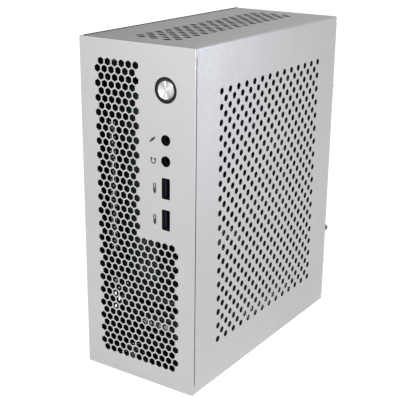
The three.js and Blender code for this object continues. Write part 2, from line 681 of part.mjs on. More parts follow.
function ioShield() {
  const shape = rectangle(IO_APERTURE.xs, IO_APERTURE.zs);
  PORTS.forEach(({ z, wide, tall }) => {
    const xs = [ON_BOARD_X - FIT, ON_BOARD_X + tall + FIT];
    shape.holes.push(squareHole(xs, around(z, wide + 2 * FIT)));
  });
  return alongY(shape, [REAR_PANEL_OUTER_Y - SHIELD_INSET - SHIELD_SHEET, REAR_PANEL_OUTER_Y - SHIELD_INSET]);
}

function addRearPorts() {
  add('io_shield', ioShield(), MATERIAL.plated);
  PORTS.forEach((port) => {
    const material = port.bores ? MATERIAL.blackPlastic : MATERIAL.plated;
    add(port.name, portBlock(port), material);
  });
}

// ---------------------------------------------------------------- fans
// They are built around their axis, which is local Z, with the motor's struts at the low end.
const STRUT = 2.4;
const ROTOR_START = 3; // from the frame's low end to the rotor
const ROTOR_END = 0.8; // from the rotor to the frame's high end
const BLADE_THICK = 1;
const BLADE_PITCH = (38 * Math.PI) / 180;

function fanFrame(size, thick, bore, hub) {
  const half = thick / 2;
  const body = box(around(0, size), around(0, size), [-half, half]);
  const opening = rod('z', bore, [-half - 1, half + 1], [0, 0], 32);
  const strutZs = [-half, -half + STRUT];
  const motor = rod('z', hub, strutZs, [0, 0], 20);
  const across = around(0, size - 2);
  const struts = [box(across, around(0, STRUT), strutZs), box(around(0, STRUT), across, strutZs)];
  return join(cut(body, opening), motor, ...struts);
}

function fanRotor(thick, tip, hub, blades, chord) {
  const half = thick / 2;
  const zs = [-half + ROTOR_START, half - ROTOR_END];
  const middle = (zs[0] + zs[1]) / 2;
  const pieces = [rod('z', hub, zs, [0, 0], 24)];
  for (let blade = 0; blade < blades; blade += 1) {
    const plate = box([hub - 3 * JOIN, tip], around(0, chord), around(0, BLADE_THICK));
    plate.rotateX(BLADE_PITCH);
    plate.translate(0, 0, middle);
    plate.rotateZ((2 * Math.PI * blade) / blades);
    pieces.push(plate);
  }
  return clip(join(...pieces), rod('z', tip, [-thick, thick], [0, 0], 48));
}

function addFan(name, place, axis, frameGeometry, rotorGeometry) {
  const parts = { frame: frameGeometry, rotor: rotorGeometry };
  Object.entries(parts).forEach(([kind, geometry]) => {
    const mesh = add(`${name}_${kind}`, geometry, MATERIAL.blackPlastic, place);
    if (axis === 'x') mesh.rotation.y = Math.PI / 2;
    else mesh.rotation.x = -Math.PI / 2;
  });
}

// ---------------------------------------------------------------- processor and its cooler
const SOCKET = { wide: 46, tall: 4 };
const CPU = { wide: 37.5, tall: 2.8 };
const SOCKET_TOP_X = ON_BOARD_X + SOCKET.tall;
const CPU_TOP_X = SOCKET_TOP_X + FIT + CPU.tall;
const SINK_X = CPU_TOP_X + FIT;
const SINK_TOP_X = SINK_X + COOLER.base + COOLER.finHeight;

function heatsink() {
  const { y, z, size, base, finHeight, fins } = COOLER;
  const finThick = 1;
  const finXs = [SINK_X + base - JOIN, SINK_X + base + finHeight];
  const pitch = (size - finThick) / (fins - 1);
  const pieces = [box([SINK_X, SINK_X + base], around(y, size), around(z, size))];
  for (let fin = 0; fin < fins; fin += 1) {
    const finY = y - size / 2 + fin * pitch;
    pieces.push(box(finXs, [finY, finY + finThick], around(z, size)));
  }
  return join(...pieces);
}

function addCooler() {
  const { y, z, fan, fanDepth, fanWall, frameHub, rotorHub, blades, chord } = COOLER;
  const socket = box([ON_BOARD_X, SOCKET_TOP_X], around(y, SOCKET.wide), around(z, SOCKET.wide));
  const processor = box([SOCKET_TOP_X + FIT, CPU_TOP_X], around(y, CPU.wide), around(z, CPU.wide));
  add('cpu_socket', socket, MATERIAL.blackPlastic);
  add('cpu', processor, MATERIAL.plated);
  add('cpu_heatsink', heatsink(), MATERIAL.bareAluminium);
  const place = [SINK_TOP_X + FIT + fanDepth / 2, y, z];
  const bore = fan / 2 - fanWall;
  const rotor = fanRotor(fanDepth, bore - 1, rotorHub, blades, chord);
  addFan('cpu_fan', place, 'x', fanFrame(fan, fanDepth, bore, frameHub), rotor);
}

// ---------------------------------------------------------------- memory
const RAM = {
  zs: [62, 202],
  ys: [depth(23), depth(33)],
  slotThick: 6.5,
  slotTall: 9,
  slotWall: 1.2, // beside the latch
  slotEnd: 2,
  grooveFloor: 4,
  grooveWide: 1.9,
  latchFloor: 2,
  latchSeat: 4,
};
const RAM_MODULE = {
  long: 133.35,
  tall: 30,
  thick: 1.3,
  chips: 8,
  chipFrom: 14, // heights above the board
  chipTo: 26,
  chipLong: 9.5,
  chipThick: 1,
};

function ramSlot() {
  const { zs, slotThick, slotTall, slotWall, slotEnd, grooveFloor, grooveWide, latchFloor, latchSeat } = RAM;
  const grooveStart = zs[0] + slotEnd;
  const grooveZs = [grooveStart, grooveStart + RAM_MODULE.long + 2 * FIT];
  const seatZs = [zs[1] - latchSeat, zs[1] + 1];
  const body = box([0, slotTall], around(0, slotThick), zs);
  const groove = box([grooveFloor, slotTall + 1], around(0, grooveWide), grooveZs);
  const seat = box([latchFloor, slotTall + 1], around(0, slotThick - 2 * slotWall), seatZs);
  return cut(body, groove, seat);
}

function ramModule() {
  const { long, tall, thick, chips, chipFrom, chipTo, chipLong, chipThick } = RAM_MODULE;
  const floor = RAM.grooveFloor + FIT;
  const start = RAM.zs[0] + RAM.slotEnd + FIT;
  const pieces = [box([floor, floor + tall], around(0, thick), [start, start + long])];
  const chipPitch = long / chips;
  for (let chip = 0; chip < chips; chip += 1) {
    const middle = start + (chip + 0.5) * chipPitch;
    pieces.push(box([chipFrom, chipTo], around(0, thick + 2 * chipThick), around(middle, chipLong)));
  }
  return join(...pieces);
}

// The latch at the upper end turns outwards about a pin across the slot.
function ramLatch() {
  const { zs, slotThick, slotWall, latchSeat } = RAM;
  const width = slotThick - 2 * slotWall - 2 * FIT;
  const start = zs[1] - latchSeat + 0.4;
  const foot = [[2.5, 0.3], [18, 0.3], [18, 3]];
  const hook = [[14, 3], [12, 5.4], [8, 4.6], [2.5, 3]];
  const profile = polygon([...foot, ...hook]);
  const geometry = alongY(profile, around(0, width));
  geometry.translate(0, 0, start);
  return geometry;
}

function addMemory() {
  RAM.ys.forEach((y, index) => {
    const number = index + 1;
    const place = [ON_BOARD_X, y, 0];
    add(`ram_slot_${number}`, ramSlot(), MATERIAL.whitePlastic, place);
    add(`ram_module_${number}`, ramModule(), MATERIAL.chipBlack, place);
    add(`ram_latch_${number}`, ramLatch(), MATERIAL.whitePlastic, place);
  });
}

// ---------------------------------------------------------------- storage, chipset, slot and power connector
const POWER_PLUG = { y: depth(124), z: 57.5, long: 51.6, thick: 10, tall: 25 };

function solidStateDrive() {
  const ys = [depth(60), depth(140)];
  const middleZ = 201;
  const card = box([ON_BOARD_X + 3, ON_BOARD_X + 3.8], ys, around(middleZ, 22));
  const socket = box([ON_BOARD_X, ON_BOARD_X + 4.2], [ys[1] - 3, ys[1] + 5], around(middleZ, 21));
  const post = rod('x', 2.5, [ON_BOARD_X, ON_BOARD_X + 3.4], [ys[0] + 2, middleZ], 10);
  const chips = [18, 38, 60].map((offset) => {
    const chipYs = around(ys[0] + offset, 13);
    return box([ON_BOARD_X + 3.5, ON_BOARD_X + 5], chipYs, around(middleZ, 16));
  });
  return join(card, socket, post, ...chips);
}

function chipsetHeatsink() {
  const ys = [depth(58), depth(88)];
  const zs = [58, 88];
  const pieces = [box([ON_BOARD_X, ON_BOARD_X + 3], ys, zs)];
  for (let fin = 0; fin < 7; fin += 1) {
    const z = zs[0] + fin * 4.75;
    pieces.push(box([ON_BOARD_X + 2.5, ON_BOARD_X + 10], ys, [z, z + 1.5]));
  }
  return join(...pieces);
}

function expansionSlot() {
  const body = box([ON_BOARD_X, ON_BOARD_X + 11], [depth(74), depth(163)], [213.5, 221]);
  const groove = box([ON_BOARD_X + 3, ON_BOARD_X + 12], [depth(76), depth(161)], [216.3, 218.2]);
  return cut(body, groove);
}

function powerPlug() {
  const { y, z, long, thick, tall } = POWER_PLUG;
  const header = box([ON_BOARD_X, ON_BOARD_X + 12], around(y, long), around(z, thick));
  const plug = box([ON_BOARD_X + 11, ON_BOARD_X + tall], around(y, long - 1.6), around(z, thick - 1.6));
  const latchZs = [z + thick / 2 - 1, z + thick / 2 + 2.5];
  const latch = box([ON_BOARD_X + 4, ON_BOARD_X + 20], around(y, 8), latchZs);
  return join(header, plug, latch);
}

function addBoardParts() {
  add('m2_drive', solidStateDrive(), MATERIAL.circuitBoard);
  add('chipset_heatsink', chipsetHeatsink(), MATERIAL.bareAluminium);
  add('expansion_slot', expansionSlot(), MATERIAL.blackPlastic);
  add('board_power_plug', powerPlug(), MATERIAL.whitePlastic);
}

// ---------------------------------------------------------------- power supply
const CABLE_HOLE = { x: 20, z: 22, radius: 5.2 };
const PSU_SLOT = { xs: [-36, 6], fromZ: 13, pitch: 6.5, tall: 3, count: 5 };

// A square hole in the power supply's rear wall, for something of the given place and size.
function psuWindow({ x, wide, tall }) {
  return box(around(x, wide + 2 * FIT), around(PSU_YS[1], 6 * PSU.wall), around(PSU_MID_Z, tall + 2 * FIT));
}

function psuBase() {
  const { wall } = PSU;
  const bottom = box(PSU_XS, PSU_YS, [PSU_ZS[0], PSU_ZS[0] + wall]);
  const rear = box(PSU_XS, [PSU_YS[1] - wall, PSU_YS[1]], PSU_ZS);
  const front = box(PSU_XS, [PSU_YS[0], PSU_YS[0] + wall], PSU_ZS);
  const throughRear = around(PSU_YS[1], 6 * wall);
  const throughFront = around(PSU_YS[0], 6 * wall);
  const fanHole = rod('y', PSU_FAN.hole, throughRear, [PSU_FAN.x, PSU_MID_Z], 28);
  const cableHole = rod('y', CABLE_HOLE.radius, throughFront, [CABLE_HOLE.x, CABLE_HOLE.z], 16);
  const slots = [];
  for (let row = 0; row < PSU_SLOT.count; row += 1) {
    const z = PSU_SLOT.fromZ + row * PSU_SLOT.pitch;
    slots.push(box(PSU_SLOT.xs, throughFront, around(z, PSU_SLOT.tall)));
  }
  return cut(join(bottom, rear, front), fanHole, psuWindow(INLET), psuWindow(SWITCH), cableHole, ...slots);
}

function psuLid() {
  const { wall } = PSU;
  const ys = [PSU_YS[0] + wall + FIT, PSU_YS[1] - wall - FIT];
  const zs = [PSU_ZS[0] + wall + FIT, PSU_ZS[1]];
  const outer = box(PSU_XS, ys, zs);
  const inside = box([PSU_XS[0] + wall, PSU_XS[1] - wall], [ys[0] - 1, ys[1] + 1], [zs[0] - 1, zs[1] - wall]);
  return cut(outer, inside);
}

function psuBoard() {
  const floor = PSU_ZS[0] + PSU.wall + 4;
  const top = floor + BOARD.thick;
  const standing = (height) => [top - JOIN, top + height];
  const board = box([-38, 34], [PSU_YS[0] + 6, PSU_YS[1] - 30], [floor, top]);
  const transformer = box([-14, 16], [depth(84), depth(112)], standing(24));
  const sinks = [-31, 24].map((x) => box([x, x + 3], [depth(60), depth(140)], standing(26)));
  const capacitor = rod('z', 9, standing(25), [-14, depth(134)], 20);
  const filters = [52, 64].map((distance) => rod('z', 5, standing(18), [-6, depth(distance)], 14));
  return join(board, transformer, ...sinks, capacitor, ...filters);
}

const FLANGE_FACE_Y = PSU_YS[1] + 2.3; // outer face of the inlet's and the switch's flanges

// A body through the power supply's rear wall, with a flange around it outside.
function flangedBody({ wide, tall, flangeWide, flangeTall }, behind) {
  const body = box(around(0, wide), [behind, FLANGE_FACE_Y], around(0, tall));
  const flangeYs = [PSU_YS[1] + FIT, FLANGE_FACE_Y];
  return join(body, box(around(0, flangeWide), flangeYs, around(0, flangeTall)));
}

const INLET_RECESS = { halfWide: 7.75, halfTall: 12, corner: 3.5 };
const INLET_BLADE = { thick: 2, wide: 4, inset: 3, places: [[-2, -7], [2, 0], [-2, 7]] };

function psuInlet() {
  const behind = PSU_YS[1] - 17;
  const floorY = behind + 2;
  const { halfWide: wide, halfTall: tall, corner } = INLET_RECESS;
  const outline = [[-wide, -tall], [wide - corner, -tall], [wide, -tall + corner], [wide, tall - corner]];
  const recess = polygon([...outline, [wide - corner, tall], [-wide, tall]]);
  const cavity = alongY(recess, [floorY, FLANGE_FACE_Y + 1]);
  const bladeYs = [floorY - JOIN, FLANGE_FACE_Y - INLET_BLADE.inset];
  const blades = INLET_BLADE.places.map(([x, z]) => {
    return box(around(x, INLET_BLADE.wide), bladeYs, around(z, INLET_BLADE.thick));
  });
  return join(cut(flangedBody(INLET, behind), cavity), ...blades);
}

function psuSwitchFrame() {
  const behind = PSU_YS[1] - 12;
  const wall = 1;
  const openingYs = [behind + 2 * wall, FLANGE_FACE_Y + 1];
  const opening = box(around(0, SWITCH.wide - 2 * wall), openingYs, around(0, SWITCH.tall - 2 * wall));
  return cut(flangedBody(SWITCH, behind), opening);
}

// The rocker's face is a shallow V. It rests with its lower half pressed in and turns about X.
const ROCKER = { tilt: (9 * Math.PI) / 180, halfTall: 7.6, wide: 8.2, top: 3.4, side: 2, root: -5 };
const ROCKER_PIVOT_Y = PSU_YS[1] - 2.4;

function psuRocker() {
  const { tilt, halfTall, wide, top, side, root } = ROCKER;
  const crest = top + halfTall * Math.tan(tilt);
  const face = [[-halfTall, crest], [0, top], [halfTall, crest]];
  const underside = [[halfTall, top - side], [0, root], [-halfTall, top - side]];
  const shape = polygon([...face, ...underside]);
  const geometry = new THREE.ExtrudeGeometry(shape, { depth: wide, bevelEnabled: false });
  geometry.translate(0, 0, -wide / 2);
  geometry.rotateY(Math.PI / 2);
  geometry.rotateX(-tilt);
  return geometry;
}

function addPowerSupply() {
  add('psu_base', psuBase(), MATERIAL.steel);
  add('psu_lid', psuLid(), MATERIAL.steel);
  add('psu_board', psuBoard(), MATERIAL.circuitBoard);
  add('psu_inlet', psuInlet(), MATERIAL.blackPlastic, [INLET.x, 0, PSU_MID_Z]);
  add('psu_switch_frame', psuSwitchFrame(), MATERIAL.blackPlastic, [SWITCH.x, 0, PSU_MID_Z]);
  add('psu_rocker', psuRocker(), MATERIAL.blackPlastic, [SWITCH.x, ROCKER_PIVOT_Y, PSU_MID_Z]);
  const { x, size, thick, bore, tip, frameHub, rotorHub, blades, chord } = PSU_FAN;
  const place = [x, PSU_YS[1] - PSU.wall - FIT - thick / 2, PSU_MID_Z];
  const rotor = fanRotor(thick, tip, rotorHub, blades, chord);
  addFan('psu_fan', place, 'y', fanFrame(size, thick, bore, frameHub), rotor);
}

// ---------------------------------------------------------------- leads inside the case
const POWER_CABLE = 4.5; // radii
const USB_CABLE = 2.1;
const SWITCH_LEAD = 1.1;

function powerCable() {
  const plugTopX = ON_BOARD_X + POWER_PLUG.tall + 2 * FIT;
  const route = [
    [plugTopX, POWER_PLUG.y, POWER_PLUG.z],
    [plugTopX + 8, POWER_PLUG.y - 1, POWER_PLUG.z],
    [14, depth(106), 57],
    [22, depth(84), 55],
    [22, depth(56), 54],
    [21, depth(38), 53],
    [20, depth(25), 47],
    [20, depth(20), 35],
    [20, depth(25), 24],
    [CABLE_HOLE.x, PSU_YS[0] - FIT, CABLE_HOLE.z],
  ];
  return tube(route, POWER_CABLE, 10, 20);
}

function usbCable() {
  const route = [
    [24, IO_BOARD.ys[1] + FIT + 2, 118],
    [22, depth(42), 110],
    [14, depth(48), 92],
    [-2, depth(49), 74],
    [-18, depth(49), 64],
    [-30, depth(49), 62],
    [ON_BOARD_X + FIT, depth(49), 62],
  ];
  return tube(route, USB_CABLE, 8, 20);
}

function switchLead() {
  const route = [
    [CONTROLS_X, depth(SWITCH_END + TERMINAL.long + FIT), BUTTON.z],
    [21, depth(38), 202],
    [14, depth(45), 184],
    [8, depth(47), 150],
    [6, depth(46), 110],
    [-4, depth(43), 78],
    [-18, depth(42), 60],
    [ON_BOARD_X + FIT, depth(42), 56],
  ];
  return tube(route, SWITCH_LEAD, 8, 30);
}

function addCables() {
  add('board_power_cable', powerCable(), MATERIAL.sleeve);
  add('front_usb_cable', usbCable(), MATERIAL.sleeve);
  add('power_switch_lead', switchLead(), MATERIAL.sleeve);
}

addCase();
addCoverScrews();
addPowerButton();
addFrontPorts();
addBoard();
addRearPorts();
addCooler();
addMemory();
addBoardParts();
addPowerSupply();
addCables();

export default tower;
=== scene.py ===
"""Looks of a small aluminium desktop tower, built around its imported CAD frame.

Metres, unless a comment says millimetres. +Z is up, the perforated front faces -Y and +X is the user's right.
Every mesh is built in place, so a texture's Object coordinates are metres in that frame.
"""

import math

import bmesh
import bpy
from mathutils import Matrix, Vector
from mathutils.geometry import intersect_point_line


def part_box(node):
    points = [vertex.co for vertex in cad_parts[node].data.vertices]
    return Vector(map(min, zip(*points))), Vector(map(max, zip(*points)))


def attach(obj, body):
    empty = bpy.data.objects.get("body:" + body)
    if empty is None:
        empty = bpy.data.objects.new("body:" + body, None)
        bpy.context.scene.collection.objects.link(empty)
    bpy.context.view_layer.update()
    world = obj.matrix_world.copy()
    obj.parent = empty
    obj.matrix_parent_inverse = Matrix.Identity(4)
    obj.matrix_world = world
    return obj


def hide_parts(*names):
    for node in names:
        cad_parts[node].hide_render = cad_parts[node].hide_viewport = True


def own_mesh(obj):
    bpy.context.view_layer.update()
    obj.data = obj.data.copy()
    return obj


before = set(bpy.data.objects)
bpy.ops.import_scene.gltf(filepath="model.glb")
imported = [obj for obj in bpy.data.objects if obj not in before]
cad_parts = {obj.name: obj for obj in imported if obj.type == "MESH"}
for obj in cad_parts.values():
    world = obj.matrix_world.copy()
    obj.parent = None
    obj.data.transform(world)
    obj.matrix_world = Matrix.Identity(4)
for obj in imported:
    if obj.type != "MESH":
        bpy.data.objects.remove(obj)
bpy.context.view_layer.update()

MM = 0.001
UP = Vector((0, 0, 1))
ALONG_X = Vector((1, 0, 0))
ALONG_Y = Vector((0, 1, 0))


# ---------------------------------------------------------------- places taken from the frame
def middle(node):
    low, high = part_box(node)
    return (low + high) / 2


def box_mm(node):
    """A node's box in millimetres."""
    low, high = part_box(node)
    return low / MM, high / MM


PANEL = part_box("front_panel")
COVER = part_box("cover")
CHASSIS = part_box("chassis")
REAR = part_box("rear_panel")
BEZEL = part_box("power_button_bezel")

FACE_Y = PANEL[0].y
SHEET = PANEL[1].y - PANEL[0].y
MIDDLE_Y = (PANEL[0].y + COVER[1].y) / 2
BEND = 0.75 * MM  # radius of the sheet's middle in a bend
BEND_OUT = BEND + SHEET / 2
BEND_ARC = BEND * math.pi / 2
BEND_STEPS = 8
EDGE = 0.06 * MM  # easing of a sheet's cut edges
REAR_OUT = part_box("io_shield")[1].y + 0.2 * MM  # outer face of the rear panel, which the shield lies inside
WALL_DROP = 0.3 * MM  # how far the left wall's top edge stays below the cover's top

# ---------------------------------------------------------------- camera
CAMERA_PLACE = Vector((0.3417, -0.53825, 0.3181))
CAMERA_AZIMUTH = math.radians(33.64)
CAMERA_ELEVATION = math.radians(18.60)
CAMERA_ROLL = math.radians(-0.565)
CAMERA_LENS = 82.16
CAMERA_SENSOR = 36.0


def make_camera():
    """The viewpoint: in front, to the right and a little above."""
    level = math.cos(CAMERA_ELEVATION)
    flat = ALONG_X * math.sin(CAMERA_AZIMUTH) - ALONG_Y * math.cos(CAMERA_AZIMUTH)
    back = flat * level + UP * math.sin(CAMERA_ELEVATION)
    right = UP.cross(back).normalized()
    top = back.cross(right)
    turned_right = right * math.cos(CAMERA_ROLL) - top * math.sin(CAMERA_ROLL)
    turned_top = right * math.sin(CAMERA_ROLL) + top * math.cos(CAMERA_ROLL)
    data = bpy.data.cameras.new("camera")
    data.lens = CAMERA_LENS
    data.sensor_width = CAMERA_SENSOR
    data.clip_start = 0.05
    data.clip_end = 50
    camera = bpy.data.objects.new("camera", data)
    turn = Matrix((turned_right, turned_top, back)).transposed().to_4x4()
    camera.matrix_world = Matrix.Translation(CAMERA_PLACE) @ turn
    bpy.context.scene.collection.objects.link(camera)
    bpy.context.scene.camera = camera


# ---------------------------------------------------------------- materials
class Shader:
    """A material's nodes, with a short call for each kind that is used here."""

    def __init__(self, name, colour, roughness, metallic=0.0):
        self.material = bpy.data.materials.new(name)
        self.material.use_nodes = True
        self.nodes = self.material.node_tree.nodes
        self.links = self.material.node_tree.links
        self.surface = self.nodes["Principled BSDF"]
        self.surface.inputs["Base Color"].default_value = (*colour, 1)
        self.surface.inputs["Roughness"].default_value = roughness
        self.surface.inputs["Metallic"].default_value = metallic
        self.place = self.add("ShaderNodeTexCoord").outputs["Object"]
        self.normal = None

    def add(self, kind, sockets=(), **values):
        """Adds a node with these properties; a socket takes a value or is joined to another socket."""
        node = self.nodes.new(kind)
        for name, value in values.items():
            setattr(node, name, value)
        for name, value in dict(sockets).items():
            if isinstance(value, bpy.types.NodeSocket):
                self.links.new(value, node.inputs[name])
            else:
                node.inputs[name].default_value = value
        return node

    def mapped(self, **sockets):
        return self.add("ShaderNodeMapping", {"Vector": self.place, **sockets}).outputs["Vector"]

    def noise(self, size, detail=3, stretch=(1, 1, 1)):
        """Noise whose lumps are about size metres across, drawn out along an axis by stretch."""
        place = self.mapped(Scale=[1 / (size * factor) for factor in stretch])
        return self.add("ShaderNodeTexNoise", {"Vector": place, "Scale": 1, "Detail": detail}).outputs["Fac"]

    def spread(self, value, low, high, start=0.3, end=0.7):
        """Maps a value between start and end onto low to high."""
        sockets = {"Value": value, "From Min": start, "From Max": end, "To Min": low, "To Max": high}
        return self.add("ShaderNodeMapRange", sockets).outputs["Result"]

    def mix(self, share, first, second):
        """Mixes two colours, each a colour or a socket, by share."""
        sockets = {"Factor": share}
        for name, tone in (("A", first), ("B", second)):
            sockets[name] = tone if isinstance(tone, bpy.types.NodeSocket) else (*tone, 1)
        return self.add("ShaderNodeMix", sockets, data_type="RGBA").outputs["Result"]

    def bump(self, height, depth, strength=1.0):
        """Adds relief of about depth metres on top of the relief so far."""
        sockets = {"Strength": strength, "Distance": depth, "Height": height}
        if self.normal is not None:
            sockets["Normal"] = self.normal
        self.normal = self.add("ShaderNodeBump", sockets).outputs["Normal"]

    def edges(self, radius):
        """About 1 within radius of a sharp edge and 0 on the flats."""
        rounded = self.add("ShaderNodeBevel", {"Radius": radius}, samples=6).outputs["Normal"]
        plain = self.add("ShaderNodeNewGeometry").outputs["Normal"]
        product = self.add("ShaderNodeVectorMath", {0: rounded, 1: plain}, operation="DOT_PRODUCT")
        return self.spread(product.outputs["Value"], 1, 0, 0.8, 0.99)

    def done(self, colour=None, roughness=None):
        for name, source in (("Base Color", colour), ("Roughness", roughness), ("Normal", self.normal)):
            if source is not None:
                self.links.new(source, self.surface.inputs[name])
        return self.material


def scaled(colour, factor):
    return tuple(min(1.0, channel * factor) for channel in colour)


def fill_ramp(ramp, stops):
    """Gives a colour ramp these stops, each a place and a colour, in place of its own two."""
    for place, colour in stops:
        ramp.elements.new(place).color = (*colour, 1)
    ramp.elements.remove(ramp.elements[-1])
    ramp.elements.remove(ramp.elements[0])


def blasted_aluminium(name, colour, roughness=0.42):
    """Bead-blasted and anodised sheet: an even grain, faint cloudiness, and edges painted lighter, partly as
    wear and partly as a painted highlight.
    """
    shader = Shader(name, colour, roughness, 1.0)
    cloud = shader.noise(28 * MM, 4)
    grain = shader.noise(0.22 * MM, 2)
    # A mask of the edges, which are painted lighter: some wear, and a painted highlight along them.
    edge_wear_and_highlight = shader.edges(0.35 * MM)
    tone = shader.mix(shader.spread(cloud, 0, 1), scaled(colour, 0.975), scaled(colour, 1.02))
    tone = shader.mix(shader.spread(grain, 0, 0.5), tone, scaled(colour, 0.93))
    tone = shader.mix(edge_wear_and_highlight, tone, scaled(colour, 1.18))
    shader.bump(grain, 0.012 * MM, 0.6)
    shader.bump(cloud, 0.02 * MM, 0.15)
    return shader.done(tone, shader.spread(shader.noise(3 * MM, 4), roughness - 0.035, roughness + 0.035))


def brushed_metal(name, colour, roughness, stretch, metallic=1.0):
    """Rolled or turned metal: fine lines drawn out along one axis, and a few handling marks."""
    shader = Shader(name, colour, roughness, metallic)
    lines = shader.noise(0.12 * MM, 3, stretch)
    marks = shader.noise(9 * MM, 5)
    tone = shader.mix(shader.spread(marks, 0, 1), scaled(colour, 0.9), scaled(colour, 1.06))
    tone = shader.mix(shader.spread(lines, 0, 0.6), tone, scaled(colour, 0.82))
    shader.bump(lines, 0.006 * MM, 0.5)
    return shader.done(tone, shader.spread(marks, roughness - 0.06, roughness + 0.08))


def moulded_plastic(name, colour, roughness, grain=0.35 * MM):
    """Spark-eroded plastic: a fine leathery grain, and a painted highlight that makes the edges paler."""
    shader = Shader(name, colour, roughness)
    fine = shader.noise(grain, 3)
    patch = shader.noise(11 * MM, 3)
    tone = shader.mix(shader.spread(patch, 0, 1), scaled(colour, 0.88), scaled(colour, 1.1))
    # A painted highlight: the colour is made paler along the edges.
    tone = shader.mix(shader.edges(0.25 * MM), tone, scaled(colour, 1.5))
    shader.bump(fine, 0.02 * MM, 0.35)
    return shader.done(tone, shader.spread(patch, roughness - 0.05, roughness + 0.07))


def soft_rubber(name, colour):
    """Moulded rubber, dull and a little dusty."""
    shader = Shader(name, colour, 0.8)
    dust = shader.noise(2 * MM, 5)
    tone = shader.mix(shader.spread(dust, 0, 1, 0.45, 0.8), colour, scaled(colour, 2.2))
    shader.bump(shader.noise(0.3 * MM, 3), 0.03 * MM, 0.5)
    return shader.done(tone, shader.spread(dust, 0.72, 0.9))


def circuit_board(name, colour):
    """Solder mask over a copper pattern: fine tracks across and along, and a satin sheen."""
    shader = Shader(name, colour, 0.38)
    across = shader.noise(1.1 * MM, 1, (1, 14, 1))
    along = shader.noise(1.1 * MM, 1, (1, 1, 14))
    tone = shader.mix(shader.spread(across, 0, 1, 0.56, 0.6), colour, scaled(colour, 1.9))
    tone = shader.mix(shader.spread(along, 0, 1, 0.58, 0.62), tone, scaled(colour, 1.6))
    shader.bump(across, 0.02 * MM, 0.4)
    shader.bump(along, 0.02 * MM, 0.4)
    return shader.done(tone, shader.spread(shader.noise(14 * MM), 0.32, 0.46))


def braided_sleeve(name, colour):
    """A woven nylon sleeve: two crossed sets of strands."""
    shader = Shader(name, colour, 0.55)
    strands = []
    for lean in (1, -1):
        place = shader.mapped(Rotation=(lean * 0.6, lean * 0.8, lean * 0.5))
        wave = shader.add("ShaderNodeTexWave", {"Vector": place, "Scale": 0.32 / MM, "Distortion": 0.6})
        strands.append(wave.outputs["Fac"])
        shader.bump(strands[-1], 0.12 * MM, 0.6)
    tone = shader.mix(strands[0], scaled(colour, 0.6), scaled(colour, 2.2))
    return shader.done(tone, shader.spread(strands[1], 0.5, 0.68))


# Painted highlights of a turned face: its brightness round half a turn, clockwise in degrees from its top;
# the other half repeats it.
SPUN_PAINTED_GLINTS = ((0, 1.15), (11, 0.5), (24, 0.8), (50, 1.2), (75, 1.0), (100, 0.85), (122, 0.75), (140, 0.5),
             (158, 0.62), (166, 1.0), (172, 1.5), (179, 1.2))


def spun_metal(name, colour, centre):
    """A face turned on a lathe: rings about the axis at centre, with bright sectors painted round it as the
    glints of its rings.
    """
    shader = Shader(name, colour, 0.3, 1.0)
    place = shader.mapped(Location=-centre)
    wave = {"Vector": place, "Scale": 1.1 / MM, "Distortion": 0.4}
    rings = shader.add("ShaderNodeTexWave", wave, wave_type="RINGS", rings_direction="Y").outputs["Fac"]
    parts = shader.add("ShaderNodeSeparateXYZ", {"Vector": place}).outputs
    angle = shader.add("ShaderNodeMath", {0: parts["X"], 1: parts["Z"]}, operation="ARCTAN2").outputs[0]
    half_turn = shader.add("ShaderNodeMath", {0: angle, 1: math.pi, 2: 0}, operation="WRAP").outputs[0]
    # Brightness by angle round the axis: painted highlights for the spread glints of the turned rings.
    painted_glints = shader.add("ShaderNodeValToRGB", {"Fac": shader.spread(half_turn, 0, 1, 0, math.pi)})
    painted_glints.color_ramp.interpolation = "EASE"
    fill_ramp(painted_glints.color_ramp, [(degrees / 180, scaled(colour, level)) for degrees, level in SPUN_PAINTED_GLINTS])
    grooves = shader.spread(rings, 0, 0.35, 0, 1)
    tone = shader.mix(grooves, painted_glints.outputs["Color"], scaled(colour, 0.75))
    shader.bump(rings, 0.008 * MM, 0.4)
    return shader.done(tone, shader.spread(shader.noise(1 * MM), 0.26, 0.36))


def printed_ink(name, colour):
    """Screen-printed ink, a little uneven at its finest."""
    shader = Shader(name, colour, 0.6)
    grain = shader.noise(0.12 * MM, 3)
    shader.bump(grain, 0.01 * MM, 0.4)
    return shader.done(shader.mix(shader.spread(grain, 0, 1), colour, scaled(colour, 1.7)))


def dull(material, level):
    """Lowers the mirror-like share of a plastic's finish."""
    material.node_tree.nodes["Principled BSDF"].inputs["Specular IOR Level"].default_value = level
    return material


CASE = blasted_aluminium("blasted_aluminium", (0.47, 0.468, 0.472))
BARE = blasted_aluminium("bare_aluminium", (0.40, 0.402, 0.405), 0.36)
SINK = blasted_aluminium("dark_anodised_aluminium", (0.045, 0.046, 0.05), 0.4)
STEEL = brushed_metal("zinc_steel", (0.50, 0.505, 0.51), 0.34, (1, 1, 14))
COATED = brushed_metal("black_coated_steel", (0.06, 0.06, 0.062), 0.42, (12, 1, 1), 0.6)
KNOB = brushed_metal("black_nickel_steel", (0.16, 0.16, 0.165), 0.28, (1, 12, 1))
PLATED = brushed_metal("plated_steel", (0.62, 0.62, 0.625), 0.26, (1, 12, 1))
# A darkened copy of steel: painted shade for the front port shells, the jacks' contact sleeves and the
# screws' cross recesses.
SHADED_STEEL = brushed_metal("shaded_port_steel", (0.045, 0.045, 0.048), 0.4, (1, 12, 1))
GOLD = brushed_metal("gold_contacts", (0.75, 0.52, 0.2), 0.25, (1, 1, 1))
